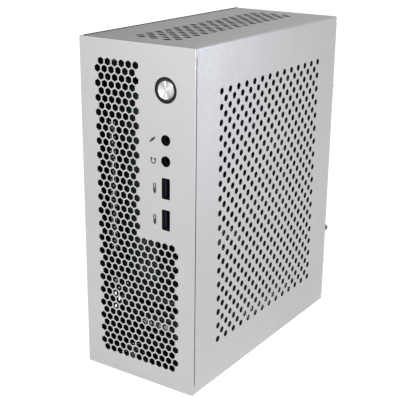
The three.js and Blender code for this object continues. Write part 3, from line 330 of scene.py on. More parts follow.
# A darkened copy of the gold: painted shade for the contacts deep in the front sockets.
SHADED_GOLD = brushed_metal("shaded_contacts", (0.10, 0.08, 0.045), 0.35, (1, 1, 1))
CAP = spun_metal("spun_aluminium", (0.66, 0.66, 0.66), middle("power_button_bezel"))
BLACK = dull(moulded_plastic("black_plastic", (0.006, 0.006, 0.0065), 0.5), 0.2)
DEEP_BLACK = dull(moulded_plastic("matt_black_plastic", (0.0025, 0.0025, 0.0028), 0.6), 0.12)
SMOKY = dull(moulded_plastic("smoky_plastic", (0.014, 0.014, 0.017), 0.3), 0.35)
NAVY = dull(moulded_plastic("navy_plastic", (0.0022, 0.0028, 0.014), 0.5), 0.15)
BLUE = moulded_plastic("blue_plastic", (0.01, 0.03, 0.22), 0.4)
WHITE = moulded_plastic("white_plastic", (0.62, 0.60, 0.55), 0.45)
# Painted shade: the black on the inside of the case's sheets and on their hole walls, on the sheet behind the
# rear vents and in the cover's seam.
SHADE_LINING = dull(moulded_plastic("painted_shade_black", (0.008, 0.008, 0.0085), 0.6), 0.2)
RUBBER = soft_rubber("rubber", (0.012, 0.012, 0.012))
BOARD = dull(circuit_board("circuit_board", (0.006, 0.016, 0.012)), 0.35)
CHIP = moulded_plastic("chip_epoxy", (0.012, 0.012, 0.013), 0.36, 0.15 * MM)
SLEEVE = braided_sleeve("cable_sleeve", (0.014, 0.014, 0.015))
INK = printed_ink("printed_ink", (0.018, 0.018, 0.02))


# ---------------------------------------------------------------- mesh helpers
def make_piece(name, mesh, material, replaced=(), body="case", slot=None, lining=None):
    """Turns a mesh into a named piece that rides on a body; slot is not used."""
    piece = bpy.data.objects.new(name, mesh)
    bpy.context.scene.collection.objects.link(piece)
    while len(mesh.materials) < (2 if lining else 1):
        mesh.materials.append(None)
    mesh.materials[0] = material
    if lining:
        mesh.materials[1] = lining
    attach(piece, body)
    if replaced:
        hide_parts(*replaced)
    return piece


def smooth(mesh, angle=20):
    """Smooth shading, broken where faces meet at more than angle degrees."""
    mesh.shade_smooth()
    mesh.set_sharp_from_angle(angle=math.radians(angle))
    return mesh


def from_bmesh(name, form):
    mesh = bpy.data.meshes.new(name)
    form.to_mesh(mesh)
    form.free()
    return mesh


def circle(centre, radius, count=20, clockwise=True):
    """Points round a circle; holes go clockwise and outer edges the other way."""
    turn = -1 if clockwise else 1
    steps = [turn * 2 * math.pi * index / count for index in range(count)]
    return [(centre[0] + radius * math.cos(step), centre[1] + radius * math.sin(step)) for step in steps]


def hexagon(centre, radius):
    """A pointy-topped hexagon whose corners are slightly broken, clockwise."""
    points = []
    for corner in range(6):
        for lean in (4, -4):
            angle = math.radians(90 - 60 * corner + lean)
            points.append((centre[0] + radius * math.cos(angle), centre[1] + radius * math.sin(angle)))
    return points


def rectangle(low, high, radius=0.0, clockwise=True):
    """A rectangle with round corners, from its low and high corners."""
    points = []
    steps = 5
    corners = (
        (high[0] - radius, high[1] - radius),
        (low[0] + radius, high[1] - radius),
        (low[0] + radius, low[1] + radius),
        (high[0] - radius, low[1] + radius),
    )
    for quarter, corner in enumerate(corners):
        for step in range(steps + 1 if radius else 1):
            angle = (quarter + step / steps) * math.pi / 2
            points.append((corner[0] + radius * math.cos(angle), corner[1] + radius * math.sin(angle)))
    return points[::-1] if clockwise else points


def line_inside(form, outer, thickness, edge):
    """Gives the inner face and the walls of the holes the second material, the painted shade, and leaves the
    rim and outside.
    """
    outer = [Vector((across, along, 0)) for across, along in outer]
    sides = list(zip(outer, outer[1:] + outer[:1]))
    for face in form.faces:
        centre = face.calc_center_median()
        if face.normal.z > 0.3 or centre.z > thickness / 2 - 1.5 * edge:
            continue
        face.material_index = 1
        if abs(face.normal.z) > 0.9:
            continue
        flat = Vector((centre.x, centre.y, 0))
        for start, end in sides:
            nearest, share = intersect_point_line(flat, start, end)
            if -0.01 <= share <= 1.01 and (nearest - flat).length < 2 * edge:
                face.material_index = 0
                break


def from_curve(curve):
    """The mesh of a curve, which is used up."""
    holder = bpy.data.objects.new(curve.name, curve)
    mesh = bpy.data.meshes.new_from_object(holder)
    bpy.data.objects.remove(holder)
    bpy.data.curves.remove(curve)
    return mesh


def flat_sheet(name, outer, holes, thickness=SHEET, edge=EDGE, lined=False):
    """A flat sheet in X and Y with eased edges, its thickness centred on Z = 0."""
    curve = bpy.data.curves.new(name, "CURVE")
    curve.dimensions = "2D"
    curve.fill_mode = "BOTH"
    curve.extrude = thickness / 2 - edge
    curve.bevel_depth = edge
    curve.bevel_resolution = 1
    curve.offset = -edge
    for ring in [outer, *holes]:
        spline = curve.splines.new("POLY")
        spline.points.add(len(ring) - 1)
        for point, (across, along) in zip(spline.points, ring):
            point.co = (across, along, 0, 1)
        spline.use_cyclic_u = True
    mesh = from_curve(curve)
    form = bmesh.new()
    form.from_mesh(mesh)
    bmesh.ops.remove_doubles(form, verts=form.verts, dist=0.001 * MM)
    bmesh.ops.recalc_face_normals(form, faces=form.faces)
    if lined:
        form.normal_update()
        line_inside(form, outer, thickness, edge)
    form.to_mesh(mesh)
    form.free()
    return mesh


def fold_over(along, above, line, side):
    """Where a point of a sheet goes when the sheet bends down a right angle past a line."""
    past = (along - line) * side
    if past <= 0:
        return along, above
    angle = min(past, BEND_ARC) / BEND
    straight = max(0.0, past - BEND_ARC)
    reach = BEND + above
    return (
        line + side * (reach * math.sin(angle) + straight * math.cos(angle)),
        reach * math.cos(angle) - BEND - straight * math.sin(angle),
    )


def bend_sheet(mesh, folds):
    """Bends a flat sheet. A fold is (axis, line, side); the one furthest from the middle comes first."""
    form = bmesh.new()
    form.from_mesh(mesh)
    for axis, line, side in folds:
        normal = (ALONG_X, ALONG_Y)[axis]
        for step in range(BEND_STEPS + 1):
            place = normal * (line + side * BEND_ARC * step / BEND_STEPS)
            everything = form.verts[:] + form.edges[:] + form.faces[:]
            bmesh.ops.bisect_plane(form, geom=everything, dist=0.0005 * MM, plane_co=place, plane_no=normal)
    for axis, line, side in folds:
        for vertex in form.verts:
            vertex.co[axis], vertex.co.z = fold_over(vertex.co[axis], vertex.co.z, line, side)
    form.to_mesh(mesh)
    form.free()
    return mesh


def stand(mesh, origin, across, along):
    """Moves a sheet from X, Y, Z to the axes across, along and the one square to both."""
    turn = Matrix((across, along, across.cross(along))).transposed().to_4x4()
    mesh.transform(Matrix.Translation(origin) @ turn)
    return mesh


# The two directions that are square to an axis, in turning order.
AXES = {"x": (ALONG_Y, UP), "y": (UP, ALONG_X), "z": (ALONG_X, ALONG_Y)}
ROUND_ANGLE = 32  # degrees up to which turned and rounded forms are shaded smoothly


def eased(profile, size):
    """Cuts each corner of a closed outline back by size, but never by over a third of its shorter side."""
    points = []
    count = len(profile)
    for index, corner in enumerate(profile):
        corner = Vector(corner)
        for other in (profile[index - 1], profile[(index + 1) % count]):
            run = Vector(other) - corner
            points.append(tuple(corner + run.normalized() * min(size, run.length / 3)))
    return points


def in_mm(profile):
    """Turns an outline in millimetres into metres."""
    return [(radius * MM, along * MM) for radius, along in profile]


def ring_profile(inner, outer, start, end, ease=0):
    """The outline of a ring, or of a disk where inner is 0, for lathe; its sizes are in millimetres."""
    outline = [(inner, start), (outer, start), (outer, end), (inner, end)]
    return in_mm(eased(outline, ease) if ease else outline)


def lathe(name, profile, centre, axis="y", count=48):
    """Turns a closed outline of (radius, distance along the axis) points about an axis through centre."""
    first, second = AXES[axis]
    forward = first.cross(second)
    form = bmesh.new()
    rings = []
    for radius, along in profile:
        if radius < 1e-7:
            rings.append([form.verts.new(Vector(centre) + forward * along)])
            continue
        ring = []
        for step in range(count):
            turn = 2 * math.pi * step / count
            spoke = first * math.cos(turn) + second * math.sin(turn)
            ring.append(form.verts.new(Vector(centre) + forward * along + spoke * radius))
        rings.append(ring)
    for index, ring in enumerate(rings):
        after = rings[(index + 1) % len(rings)]
        if len(ring) == 1 and len(after) == 1:
            continue
        for step in range(count):
            corners = [ring[step % len(ring)], ring[(step + 1) % len(ring)],
                       after[(step + 1) % len(after)], after[step % len(after)]]
            form.faces.new(list(dict.fromkeys(corners)))
    bmesh.ops.recalc_face_normals(form, faces=form.faces)
    return smooth(from_bmesh(name, form), ROUND_ANGLE)


def eased_box(low, high, edge=0.2 * MM, segments=2):
    """A box with rounded edges, as a bmesh."""
    form = bmesh.new()
    bmesh.ops.create_cube(form, size=1)
    low, high = Vector(low), Vector(high)
    for vertex in form.verts:
        vertex.co = Vector([low[i] + (vertex.co[i] + 0.5) * (high[i] - low[i]) for i in range(3)])
    bmesh.ops.bevel(form, geom=form.edges[:], offset=edge, segments=segments, profile=0.5, affect="EDGES")
    return form


def joined(name, forms, angle=ROUND_ANGLE):
    """One mesh from several bmeshes or meshes."""
    whole = bmesh.new()
    for form in forms:
        mesh = from_bmesh("part", form) if isinstance(form, bmesh.types.BMesh) else form
        whole.from_mesh(mesh)
        bpy.data.meshes.remove(mesh)
    return smooth(from_bmesh(name, whole), angle)


def make_joined(name, forms, material, replaced=(), angle=ROUND_ANGLE, **choices):
    """One piece from several bmeshes or meshes."""
    make_piece(name, joined(name, forms, angle), material, replaced, **choices)


def slab(name, outer, holes, ys, edge=0.1 * MM):
    """An outline in X and Z with holes, extruded along Y between two values."""
    mesh = flat_sheet(name, outer, holes, ys[1] - ys[0], edge)
    return stand(mesh, (0, (ys[0] + ys[1]) / 2, 0), ALONG_X, UP)


def tube(name, points, radius, closed=False):
    """A round tube along a smooth curve through points, as a mesh."""
    curve = bpy.data.curves.new(name, "CURVE")
    curve.dimensions = "3D"
    curve.bevel_depth = radius
    curve.bevel_resolution = 3
    curve.resolution_u = 8
    curve.use_fill_caps = True
    spline = curve.splines.new("BEZIER")
    spline.bezier_points.add(len(points) - 1)
    for point, place in zip(spline.bezier_points, points):
        point.co = place
        point.handle_left_type = point.handle_right_type = "AUTO"
    spline.use_cyclic_u = closed
    return smooth(from_curve(curve), 50)


def turned(name, profile, centre, material, replaced=(), axis="y", count=48):
    """A piece on the case that is one turned form."""
    make_piece(name, lathe(name, profile, centre, axis, count), material, replaced)


def blocks(name, material, spans, edge=0.3, replaced=()):
    """A piece on the case made of rounded blocks, each given by its X, Y and Z spans in millimetres."""
    forms = []
    for span in spans:
        low, high = zip(*span)
        forms.append(eased_box(Vector(low) * MM, Vector(high) * MM, edge * MM))
    make_joined(name, forms, material, replaced)


def face_of(node, corner):
    """A node's outline seen along Y, its corners rounded to a radius in millimetres."""
    low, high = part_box(node)
    return rectangle((low.x, low.z), (high.x, high.z), corner * MM, clockwise=False)


def around(centre, size):
    return centre - size / 2, centre + size / 2


# ---------------------------------------------------------------- vents
HEX_PITCH = 5.5 * MM
HEX_ROW = HEX_PITCH * math.sqrt(3) / 2
HEX_RADIUS = 2.5 * MM
HEX_ROWS = 43
HEX_HALF_ROWS = 24  # the rows beside the controls, which hold six holes each
HEX_MIDDLE_Z = 117.5 * MM
ROUND_RADIUS = 2.2 * MM
TOP_RADIUS = 2.7 * MM
ROUND_PITCH = 10 * MM
WALL_ROWS = 35
WALL_ROW_HOLES = 14
WALL_MIDDLE_Z = 117 * MM
TOP_ROWS = 7
TOP_ROW_HOLES = 16


def front_vents():
    """Centres of the hexagons: staggered rows, narrow beside the controls and full width below."""
    centres = []
    for row in range(HEX_ROWS):
        z = HEX_MIDDLE_Z + ((HEX_ROWS - 1) / 2 - row) * HEX_ROW
        count = 11 + row % 2
        kept = 6 if row < HEX_HALF_ROWS else count
        centres += [((column - (count - 1) / 2) * HEX_PITCH, z) for column in range(kept)]
    return centres


def round_vents(rows, per_row, shorter):
    """Centres of staggered round holes about (0, 0); rows of the shorter parity hold one fewer."""
    centres = []
    for row in range(rows):
        count = per_row - (1 if row % 2 == shorter else 0)
        along = (row - (rows - 1) / 2) * ROUND_PITCH / 2
        centres += [((column - (count - 1) / 2) * ROUND_PITCH, along) for column in range(count)]
    return centres


# ---------------------------------------------------------------- outer sheets
BUTTON_X = middle("power_button_bezel").x
BUTTON_Z = middle("power_button_bezel").z
BUTTON_HOLE = 8.2 * MM
JACK_HOLE = 3.5 * MM
PORT_WIDE, PORT_TALL, PORT_CORNER = 6.3 * MM, 13.8 * MM, 0.8 * MM


def make_sheet(name, mesh, node, body="case"):
    """A piece of the case's blasted sheet, its inner face and the walls of its holes painted black as shade.
    """
    make_piece(name, smooth(mesh), CASE, (node,), body, lining=SHADE_LINING)


def front_panel():
    holes = [hexagon(centre, HEX_RADIUS) for centre in front_vents()]
    holes.append(circle((BUTTON_X, BUTTON_Z), BUTTON_HOLE, 72))
    for node in ("mic_jack", "headphone_jack"):
        holes.append(circle((BUTTON_X, middle(node).z), JACK_HOLE, 40))
    for node in ("usb_shell_upper", "usb_shell_lower"):
        z = middle(node).z
        low = (BUTTON_X - PORT_WIDE / 2, z - PORT_TALL / 2)
        high = (BUTTON_X + PORT_WIDE / 2, z + PORT_TALL / 2)
        holes.append(rectangle(low, high, PORT_CORNER))
    mesh = flat_sheet("front_panel_sheet", face_of("front_panel", 0.5), holes, lined=True)
    stand(mesh, (0, (PANEL[0].y + PANEL[1].y) / 2, 0), ALONG_X, UP)
    make_sheet("front_panel_sheet", mesh, "front_panel")


LIP = 8.2 * MM
FLANGE_REACH = 5.7 * MM
FLANGE_TOP_Z = 228 * MM
FLANGE_FOOT_Z = 5.5 * MM
SLOT_HALF = 1.7 * MM
CLOSED_TOP = 5 * MM  # how far down the side's front edge meets the front panel
CLOSED_FOOT = 7 * MM
SEAM_CLOSED = 0.45 * MM
SEAM_OPEN = 0.25 * MM


def cover_sheet():
    """Top, right side and bottom lip in one sheet, with the rear flange folded in."""
    top = COVER[1].x - BEND_OUT - COVER[0].x
    side_start = top + BEND_ARC
    side_end = side_start + COVER[1].z - COVER[0].z - 2 * BEND_OUT
    lip_end = side_end + BEND_ARC + LIP
    flange_line = COVER[1].y - COVER[0].y - BEND_OUT
    flange_end = flange_line + BEND_ARC + FLANGE_REACH

    def down(z):
        return side_start + COVER[1].z - BEND_OUT - z

    def slot(node):
        """An open slot in the flange round a screw."""
        at = down(middle(node).z)
        reach = flange_line + BEND_ARC + COVER[1].x - BEND_OUT - middle(node).x
        turns = [math.pi / 2 + math.pi * step / 10 for step in range(11)]
        round_end = [(at + SLOT_HALF * math.sin(turn), reach + SLOT_HALF * math.cos(turn)) for turn in turns]
        return [(at + SLOT_HALF, flange_end), *round_end, (at - SLOT_HALF, flange_end)]

    seam_top, seam_foot = down(COVER[1].z - CLOSED_TOP), down(COVER[0].z + CLOSED_FOOT)
    flange_foot, flange_top = down(FLANGE_FOOT_Z), down(FLANGE_TOP_Z)
    notch = 1 * MM
    corner = 1.6 * MM
    outer = [(0, SEAM_OPEN / 2), (top, SEAM_OPEN / 2), (side_start, 0), (side_start, -SEAM_CLOSED)]
    outer += [(seam_top, -SEAM_CLOSED), (seam_top, SEAM_OPEN), (seam_foot, SEAM_OPEN)]
    outer += [(seam_foot, -SEAM_CLOSED), (side_end, -SEAM_CLOSED), (side_end, 0)]
    outer += [(lip_end, 0), (lip_end, flange_line)]
    outer += [(flange_foot + notch, flange_line), (flange_foot + notch, flange_line - notch)]
    outer += [(flange_foot, flange_line - notch), (flange_foot, flange_end - corner)]
    outer += [(flange_foot - corner, flange_end)]
    for node in ("cover_screw_lower", "cover_thumbscrew", "cover_screw_upper"):
        outer += slot(node)
    outer += [(flange_top + corner, flange_end), (flange_top, flange_end - corner)]
    outer += [(flange_top, flange_line - notch), (flange_top - notch, flange_line - notch)]
    outer += [(flange_top - notch, flange_line), (0, flange_line)]

    holes = []
    for along, z in round_vents(WALL_ROWS, WALL_ROW_HOLES, 1):
        holes.append(circle((down(WALL_MIDDLE_Z + z), MIDDLE_Y + along - COVER[0].y), ROUND_RADIUS))
    for along, x in round_vents(TOP_ROWS, TOP_ROW_HOLES, 0):
        holes.append(circle((x - COVER[0].x, MIDDLE_Y + along - COVER[0].y), TOP_RADIUS))
    mesh = flat_sheet("cover_sheet", outer, holes, lined=True)
    bend_sheet(mesh, [(1, flange_line, 1), (0, side_end, 1), (0, top, 1)])
    mesh.transform(Matrix.Translation((COVER[0].x, COVER[0].y, COVER[1].z - SHEET / 2)))
    make_sheet("cover_sheet", mesh, "cover", "cover")


def chassis_sheet():
    """Left wall and floor in one sheet, bent along the lower left edge."""
    floor_long = CHASSIS[1].x - CHASSIS[0].x - BEND_OUT
    wall_start = floor_long + BEND_ARC
    wall_end = wall_start + CHASSIS[1].z - CHASSIS[0].z - BEND_OUT - WALL_DROP
    deep = CHASSIS[1].y - CHASSIS[0].y
    holes = []
    for along, z in round_vents(WALL_ROWS, WALL_ROW_HOLES, 1):
        up = wall_start + WALL_MIDDLE_Z + z - CHASSIS[0].z - BEND_OUT
        holes.append(circle((up, MIDDLE_Y + along - CHASSIS[0].y), ROUND_RADIUS))
    outer = [(0, 0), (wall_end, 0), (wall_end, deep), (0, deep)]
    mesh = flat_sheet("chassis_sheet", outer, holes, lined=True)
    bend_sheet(mesh, [(0, floor_long, 1)])
    stand(mesh, (CHASSIS[1].x, CHASSIS[0].y, CHASSIS[0].z + SHEET / 2), -ALONG_X, ALONG_Y)
    make_sheet("chassis_sheet", mesh, "chassis")


IO_GAP = 0.3 * MM
PSU_INSET = (1 * MM, 3 * MM)  # how far inside the power supply's outline its window in the rear panel is cut
REAR_FLANGE = 8 * MM
REAR_VENT_X = 22 * MM
REAR_VENT_Z = 137 * MM
REAR_VENT_ROWS = 29
REAR_VENT_ROW_HOLES = 3


def rear_panel():
    """The rear plate with its window for the ports, vents, and flanges folded in at the left and the top."""
    base_x, base_z = -REAR[1].x, REAR[0].z
    side_line = -REAR[0].x - BEND_OUT
    top_line = REAR[1].z - BEND_OUT
    reach = BEND_ARC + REAR_FLANGE - BEND_OUT
    notch = 2 * MM
    outer = [(base_x, base_z), (side_line, base_z), (side_line, base_z + notch)]
    outer += [(side_line + reach, base_z + 2 * notch), (side_line + reach, top_line - 2 * notch)]
    outer += [(side_line, top_line - notch), (side_line, top_line), (side_line - notch, top_line)]
    outer += [(side_line - 2 * notch, top_line + reach), (base_x + 2 * notch, top_line + reach)]
    outer += [(base_x + notch, top_line), (base_x, top_line)]
    holes = []
    for node, across, up, corner in (("io_shield", -IO_GAP, -IO_GAP, 0), ("psu_base", *PSU_INSET, 1 * MM)):
        low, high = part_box(node)
        holes.append(rectangle((across - high.x, low.z + up), (-low.x - across, high.z - up), corner))
    for node in ("cover_screw_upper", "cover_screw_lower", "cover_thumbscrew"):
        holes.append(circle((-middle(node).x, middle(node).z), SLOT_HALF, 20))
    for across, along in round_vents(REAR_VENT_ROWS, REAR_VENT_ROW_HOLES, 1):
        holes.append(circle((across - REAR_VENT_X, REAR_VENT_Z + along), ROUND_RADIUS))
    mesh = flat_sheet("rear_panel_sheet", outer, holes, lined=True)
    bend_sheet(mesh, [(0, side_line, 1), (1, top_line, 1)])
    stand(mesh, (0, REAR_OUT - SHEET / 2, 0), -ALONG_X, UP)
    make_sheet("rear_panel_sheet", mesh, "rear_panel")


# ---------------------------------------------------------------- power button
SPRING_TURNS = 5
SPRING_STEPS = 12  # points in a turn
SPRING_WIRE = 0.28 * MM


def power_button():
    """A black bezel, a darker light ring and a turned metal cap, all flush with the front."""
    at = Vector((BUTTON_X, FACE_Y, BUTTON_Z))
    bore, body, proud, deep = 7.05 * MM, 8 * MM, 0.35 * MM, 7 * MM
    flange, flange_front, flange_back = BEZEL[1].x - BUTTON_X, 3 * MM, 4.2 * MM
    outline = [(bore, -proud), (body, -proud), (body, flange_front), (flange, flange_front),
               (flange, flange_back), (body, flange_back), (body, deep), (bore, deep)]
    turned("button_bezel", eased(outline, 0.25 * MM), at, BLACK, ("power_button_bezel",), count=72)
    outline = ring_profile(6.15, 6.95, 0.1, 6, 0.15)
    turned("button_light_ring", outline, at, SMOKY, ("power_light_ring",), count=72)

    cap, cap_back, stem, stem_end, ease, dished = 6 * MM, 4 * MM, 2 * MM, 11 * MM, 0.2 * MM, 0.28 * MM
    shares = (0, 0.2, 0.4, 0.6, 0.75, 0.88)
    outline = [(cap * share, dished * (1 - share * share) + 0.02 * MM) for share in shares]
    outline += [(cap - 0.35 * MM, 0), (cap, 0.35 * MM), (cap, cap_back - ease), (cap - ease, cap_back)]
    outline += [(stem, cap_back), (stem, stem_end - ease), (stem - ease, stem_end), (0, stem_end)]
    mesh = lathe("button_cap", outline, at, count=72)
    make_piece("button_cap", mesh, CAP, ("power_button_cap",), "power_button")


def button_spring():
    """A coil round the cap's stem."""
    node = "power_button_spring"
    low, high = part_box(node)
    start, end = low.y + 2 * SPRING_WIRE, high.y - 2 * SPRING_WIRE
    radius = (high.x - low.x) / 2 - SPRING_WIRE
    steps = SPRING_STEPS * SPRING_TURNS
    coil = []
    for step in range(steps + 1):
        turn = 2 * math.pi * step / SPRING_STEPS
        coil.append(Vector((middle(node).x + radius * math.cos(turn), start + (end - start) * step / steps,
                            middle(node).z + radius * math.sin(turn))))
    spring = make_piece("button_spring_coil", tube("coil", coil, SPRING_WIRE), STEEL, (node,))
    anchor = (middle(node).x, high.y, middle(node).z)
    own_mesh(spring)


# ---------------------------------------------------------------- front ports
NOSE_DEPTH = 1.5 * MM  # how far an audio jack's nose lies behind the front face
SHELL_WALL = 0.35 * MM


def audio_jack(node):
    """A jack: a round nose behind its hole, a bore with a contact sleeve, and a body behind."""
    low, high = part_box(node)
    at = Vector((BUTTON_X, FACE_Y, middle(node).z))
    nose, bore, nose_end, ease = 3.05 * MM, 1.8 * MM, 3.2 * MM, 0.25 * MM
    outline = [(bore, NOSE_DEPTH + 0.4 * MM), (bore + 0.5 * MM, NOSE_DEPTH), (nose - ease, NOSE_DEPTH),
               (nose, NOSE_DEPTH + ease), (nose, nose_end), (bore, nose_end)]
    hole = circle((at.x, at.z), bore, 32)
    body = slab("body", face_of(node, 0.4), [hole], (low.y + 2.6 * MM, high.y))
    make_joined(f"{node}_body", [lathe("nose", outline, at), body], DEEP_BLACK, (node,))
    # The contact sleeve is given darkened steel: painted shade down the bore.
    turned(f"{node}_contact", ring_profile(1.6, 1.7, 4.5, 12), at, SHADED_STEEL, count=32)


def usb_socket(place):
    """An upright socket: a rounded steel shell with two springs, the plastic tongue and its contacts."""
    node = f"usb_shell_{place}"
    low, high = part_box(node)
    front = FACE_Y + SHEET + 0.1 * MM
    wall = SHELL_WALL
    inside = rectangle((low.x + wall, low.z + wall), (high.x - wall, high.z - wall), 0.4 * MM)
    forms = [slab("shell", face_of(node, 0.7), [inside], (front, high.y), 0.08 * MM)]
    for share in (0.32, 0.68):
        z = low.z + (high.z - low.z) * share
        forms.append(eased_box((high.x - 0.85 * MM, front + 3 * MM, z - 0.9 * MM),
                               (high.x - wall, front + 8 * MM, z + 0.9 * MM), 0.15 * MM))
    # The shell is given darkened steel: painted shade inside the socket.
    make_joined(f"usb_{place}_shell", forms, SHADED_STEEL, (node,))

    node = f"usb_tongue_{place}"
    low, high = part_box(node)
    front += 0.1 * MM
    left, right = BUTTON_X - 2.3 * MM, BUTTON_X - 0.46 * MM
    gap = 0.3 * MM
    tongue = eased_box((left, front, low.z + gap), (right, high.y - 6 * MM, high.z - gap), 0.25 * MM)
    root = eased_box((low.x, high.y - 6.5 * MM, low.z), high, 0.1 * MM)
    make_joined(f"usb_{place}_tongue", [tongue, root], NAVY, (node,))
    contacts = []
    for share in (0.2, 0.4, 0.6, 0.8):
        z = low.z + (high.z - low.z) * share
        contacts.append(eased_box((right - 0.05 * MM, front + 1.2 * MM, z - 0.5 * MM),
                                  (right + 0.12 * MM, front + 7.5 * MM, z + 0.5 * MM), 0.04 * MM, 1))
    # The contacts are given darkened gold: painted shade deep in the socket.
    make_joined(f"usb_{place}_contacts", contacts, SHADED_GOLD)


# ---------------------------------------------------------------- printed marks beside the ports
INK_THICK = 0.04 * MM


def ink(name, shapes):
    """Flat inked shapes on the front face, each a ring of points."""
    forms = [slab("ink", shape, [], (FACE_Y - INK_THICK, FACE_Y + INK_THICK), 0.005 * MM) for shape in shapes]
    make_joined(name, forms, INK)


def bar(start, end, half, past_ends=True):
    """A straight stroke of a half width between two points, as an outline."""
    start, end = Vector(start), Vector(end)
    run = (end - start).normalized() * half
    across = Vector((-run.y, run.x))
    if past_ends:
        start, end = start - run, end + run
    return [tuple(start - across), tuple(end - across), tuple(end + across), tuple(start + across)]


def microphone_mark():
    at = Vector((BUTTON_X - 10.2 * MM, middle("mic_jack").z - 0.7 * MM))
    lean = Vector((math.cos(math.radians(40)), math.sin(math.radians(40)))) * MM
    handle = bar(at - lean * 2.2, at - lean * 0.7, 0.5 * MM)
    collar = bar(at - lean * 0.7, at + lean * 0.7, 0.85 * MM, False)
    head = bar(at + lean * 0.9, at + lean * 2.1, 0.6 * MM)
    ink("mark_microphone", [handle, collar, head])


def headset_mark():
    at = Vector((BUTTON_X - 9.6 * MM, middle("headphone_jack").z - 0.8 * MM))
    angles = [math.radians(130 + 280 * step / 24) for step in range(25)]
    band = []
    for radius, order in ((2.05 * MM, angles), (1.35 * MM, reversed(angles))):
        band += [(at.x + radius * math.cos(angle), at.y + radius * math.sin(angle)) for angle in order]
    reach = 1.3 * MM
    cups = [circle((at.x + side * reach, at.y + reach), 0.76 * MM, 18, False) for side in (-1, 1)]
    ink("mark_headphones", [band, *cups])


def plug_mark(place):
    at = Vector((BUTTON_X - 8.7 * MM, middle(f"usb_shell_{place}").z - 0.6 * MM))
    stem = bar(at + Vector((0, -3.0)) * MM, at + Vector((0, -3.4)) * MM, 0.5 * MM)
    body = rectangle((at.x - 1.15 * MM, at.y - 3 * MM), (at.x + 1.15 * MM, at.y + 0.1 * MM), 0.5 * MM, False)
    blades = [bar(at + Vector((x, 0.4)) * MM, at + Vector((x, 2.8)) * MM, 0.4 * MM) for x in (-0.75, 0.75)]
    ink(f"mark_plug_{place}", [stem, body, *blades])


# ---------------------------------------------------------------- fasteners and feet
SEAT_Y = COVER[1].y + 0.3 * MM  # where the rear screws' heads sit
SHANK = 1.4 * MM
RECESS = 1.3 * MM
RECESS_DEPTH = 0.3 * MM
KNOB_TEETH = 26
TOOTH = (0, 0.5, 1, 0.5)  # a tooth's height round its four steps
TOOTH_DEPTH = 0.22 * MM
FEET = 4


def pan_screw(node):
    """A screw with a washer face under its domed head, and its cross recess as a dark inlay painted as the
    shade in it.
    """
    low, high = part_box(node)
    at = middle(node)
    head = high.x - at.x
    washer, end = 0.75 * MM, low.y - SEAT_Y
    angles = [math.pi / 2 * step / 7 for step in range(7)]
    outline = [(0, end), (SHANK - 0.1 * MM, end), (SHANK, end + 0.2 * MM), (SHANK, 0), (head, 0)]
    dome = high.y - SEAT_Y - washer
    outline += [(head * math.cos(angle), washer + dome * math.sin(angle)) for angle in angles]
    outline += [(0, high.y - SEAT_Y)]
    turned(f"{node}_turned", outline, (at.x, SEAT_Y, at.z), STEEL, (node,), count=40)
    forms = []
    # Painted shade: thin dark blocks set into the head in place of a cut recess.
    for across, along in ((RECESS, RECESS * 0.3), (RECESS * 0.3, RECESS)):
        forms.append(eased_box((at.x - across, high.y - RECESS_DEPTH, at.z - along),
                               (at.x + across, high.y + 0.02 * MM, at.z + along), 0.05 * MM, 1))
    make_joined(f"{node}_recess", forms, SHADED_STEEL, slot="screw_steel")


def thumbscrew():
    """A knurled knob on its shank."""
    node = "cover_thumbscrew"
    low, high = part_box(node)
    at = middle(node)
    radius = high.x - at.x
    long = (high.y - SEAT_Y) / MM
    profile = ((0.62, 0), (0.62, 0.8), (0.9, 1.1), (1.0, 1.3), (1.0, long - 0.5), (0.9, long - 0.1),
               (0.82, long), (0.0, long))
    knurled_from = 0.85  # share of the radius
    count = KNOB_TEETH * len(TOOTH)
    form = bmesh.new()
    rings = []
    for share, along in profile:
        ring = []
        for step in range(count):
            turn = 2 * math.pi * step / count
            cut = 1 - TOOTH[step % len(TOOTH)] if share > knurled_from else 0
            reach = radius * share - cut * TOOTH_DEPTH
            ring.append(form.verts.new((at.x + reach * math.sin(turn), SEAT_Y + along * MM,
                                        at.z + reach * math.cos(turn))))
        rings.append(ring)
    for ring, after in zip(rings, rings[1:]):
        for step in range(count):
            form.faces.new((ring[step], ring[step - 1], after[step - 1], after[step]))
    form.faces.new(rings[0])
    bmesh.ops.remove_doubles(form, verts=form.verts, dist=0.0005 * MM)
    bmesh.ops.recalc_face_normals(form, faces=form.faces)
    profile = ring_profile(0, SHANK / MM, (low.y - SEAT_Y) / MM, 0.1, 0.15)
    shank = lathe("shank", profile, (at.x, SEAT_Y, at.z), count=32)
    make_joined("thumbscrew_knob", [form, shank], KNOB, (node,), 28)


def feet():
    for number in range(1, FEET + 1):
        node = f"foot_{number}"
        low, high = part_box(node)
        radius = (high.x - low.x) / 2 / MM
        tall = (high.z - low.z) / MM
        outline = [(0, 0.5), (2, 0.5), (2.4, 0.05), (3, 0), (radius - 0.8, 0), (radius - 0.25, 0.25),
                   (radius, 0.8), (radius - 0.15, tall), (0, tall)]
        at = (middle(node).x, middle(node).y, low.z)
        turned(f"{node}_rubber", in_mm(outline), at, RUBBER, (node,), "z", 40)


# ---------------------------------------------------------------- fans
FLANGE = 3 * MM
DUCT_WALL = 1.4  # this and the next in millimetres
SEAT_THICK = 2.2  # of the motor's seat and its struts
STRUTS = 4
STRUT_LEAN = 0.3  # share of a quarter turn from the flange's sides
BLADE_HALF = 0.5 * MM
BLADE_STEPS = 7
BLADE_SWEEP = 0.35
BLADE_LIFT = 0.86  # share of the rotor's height that a blade's root climbs
ORIGIN = (0, 0, 0)


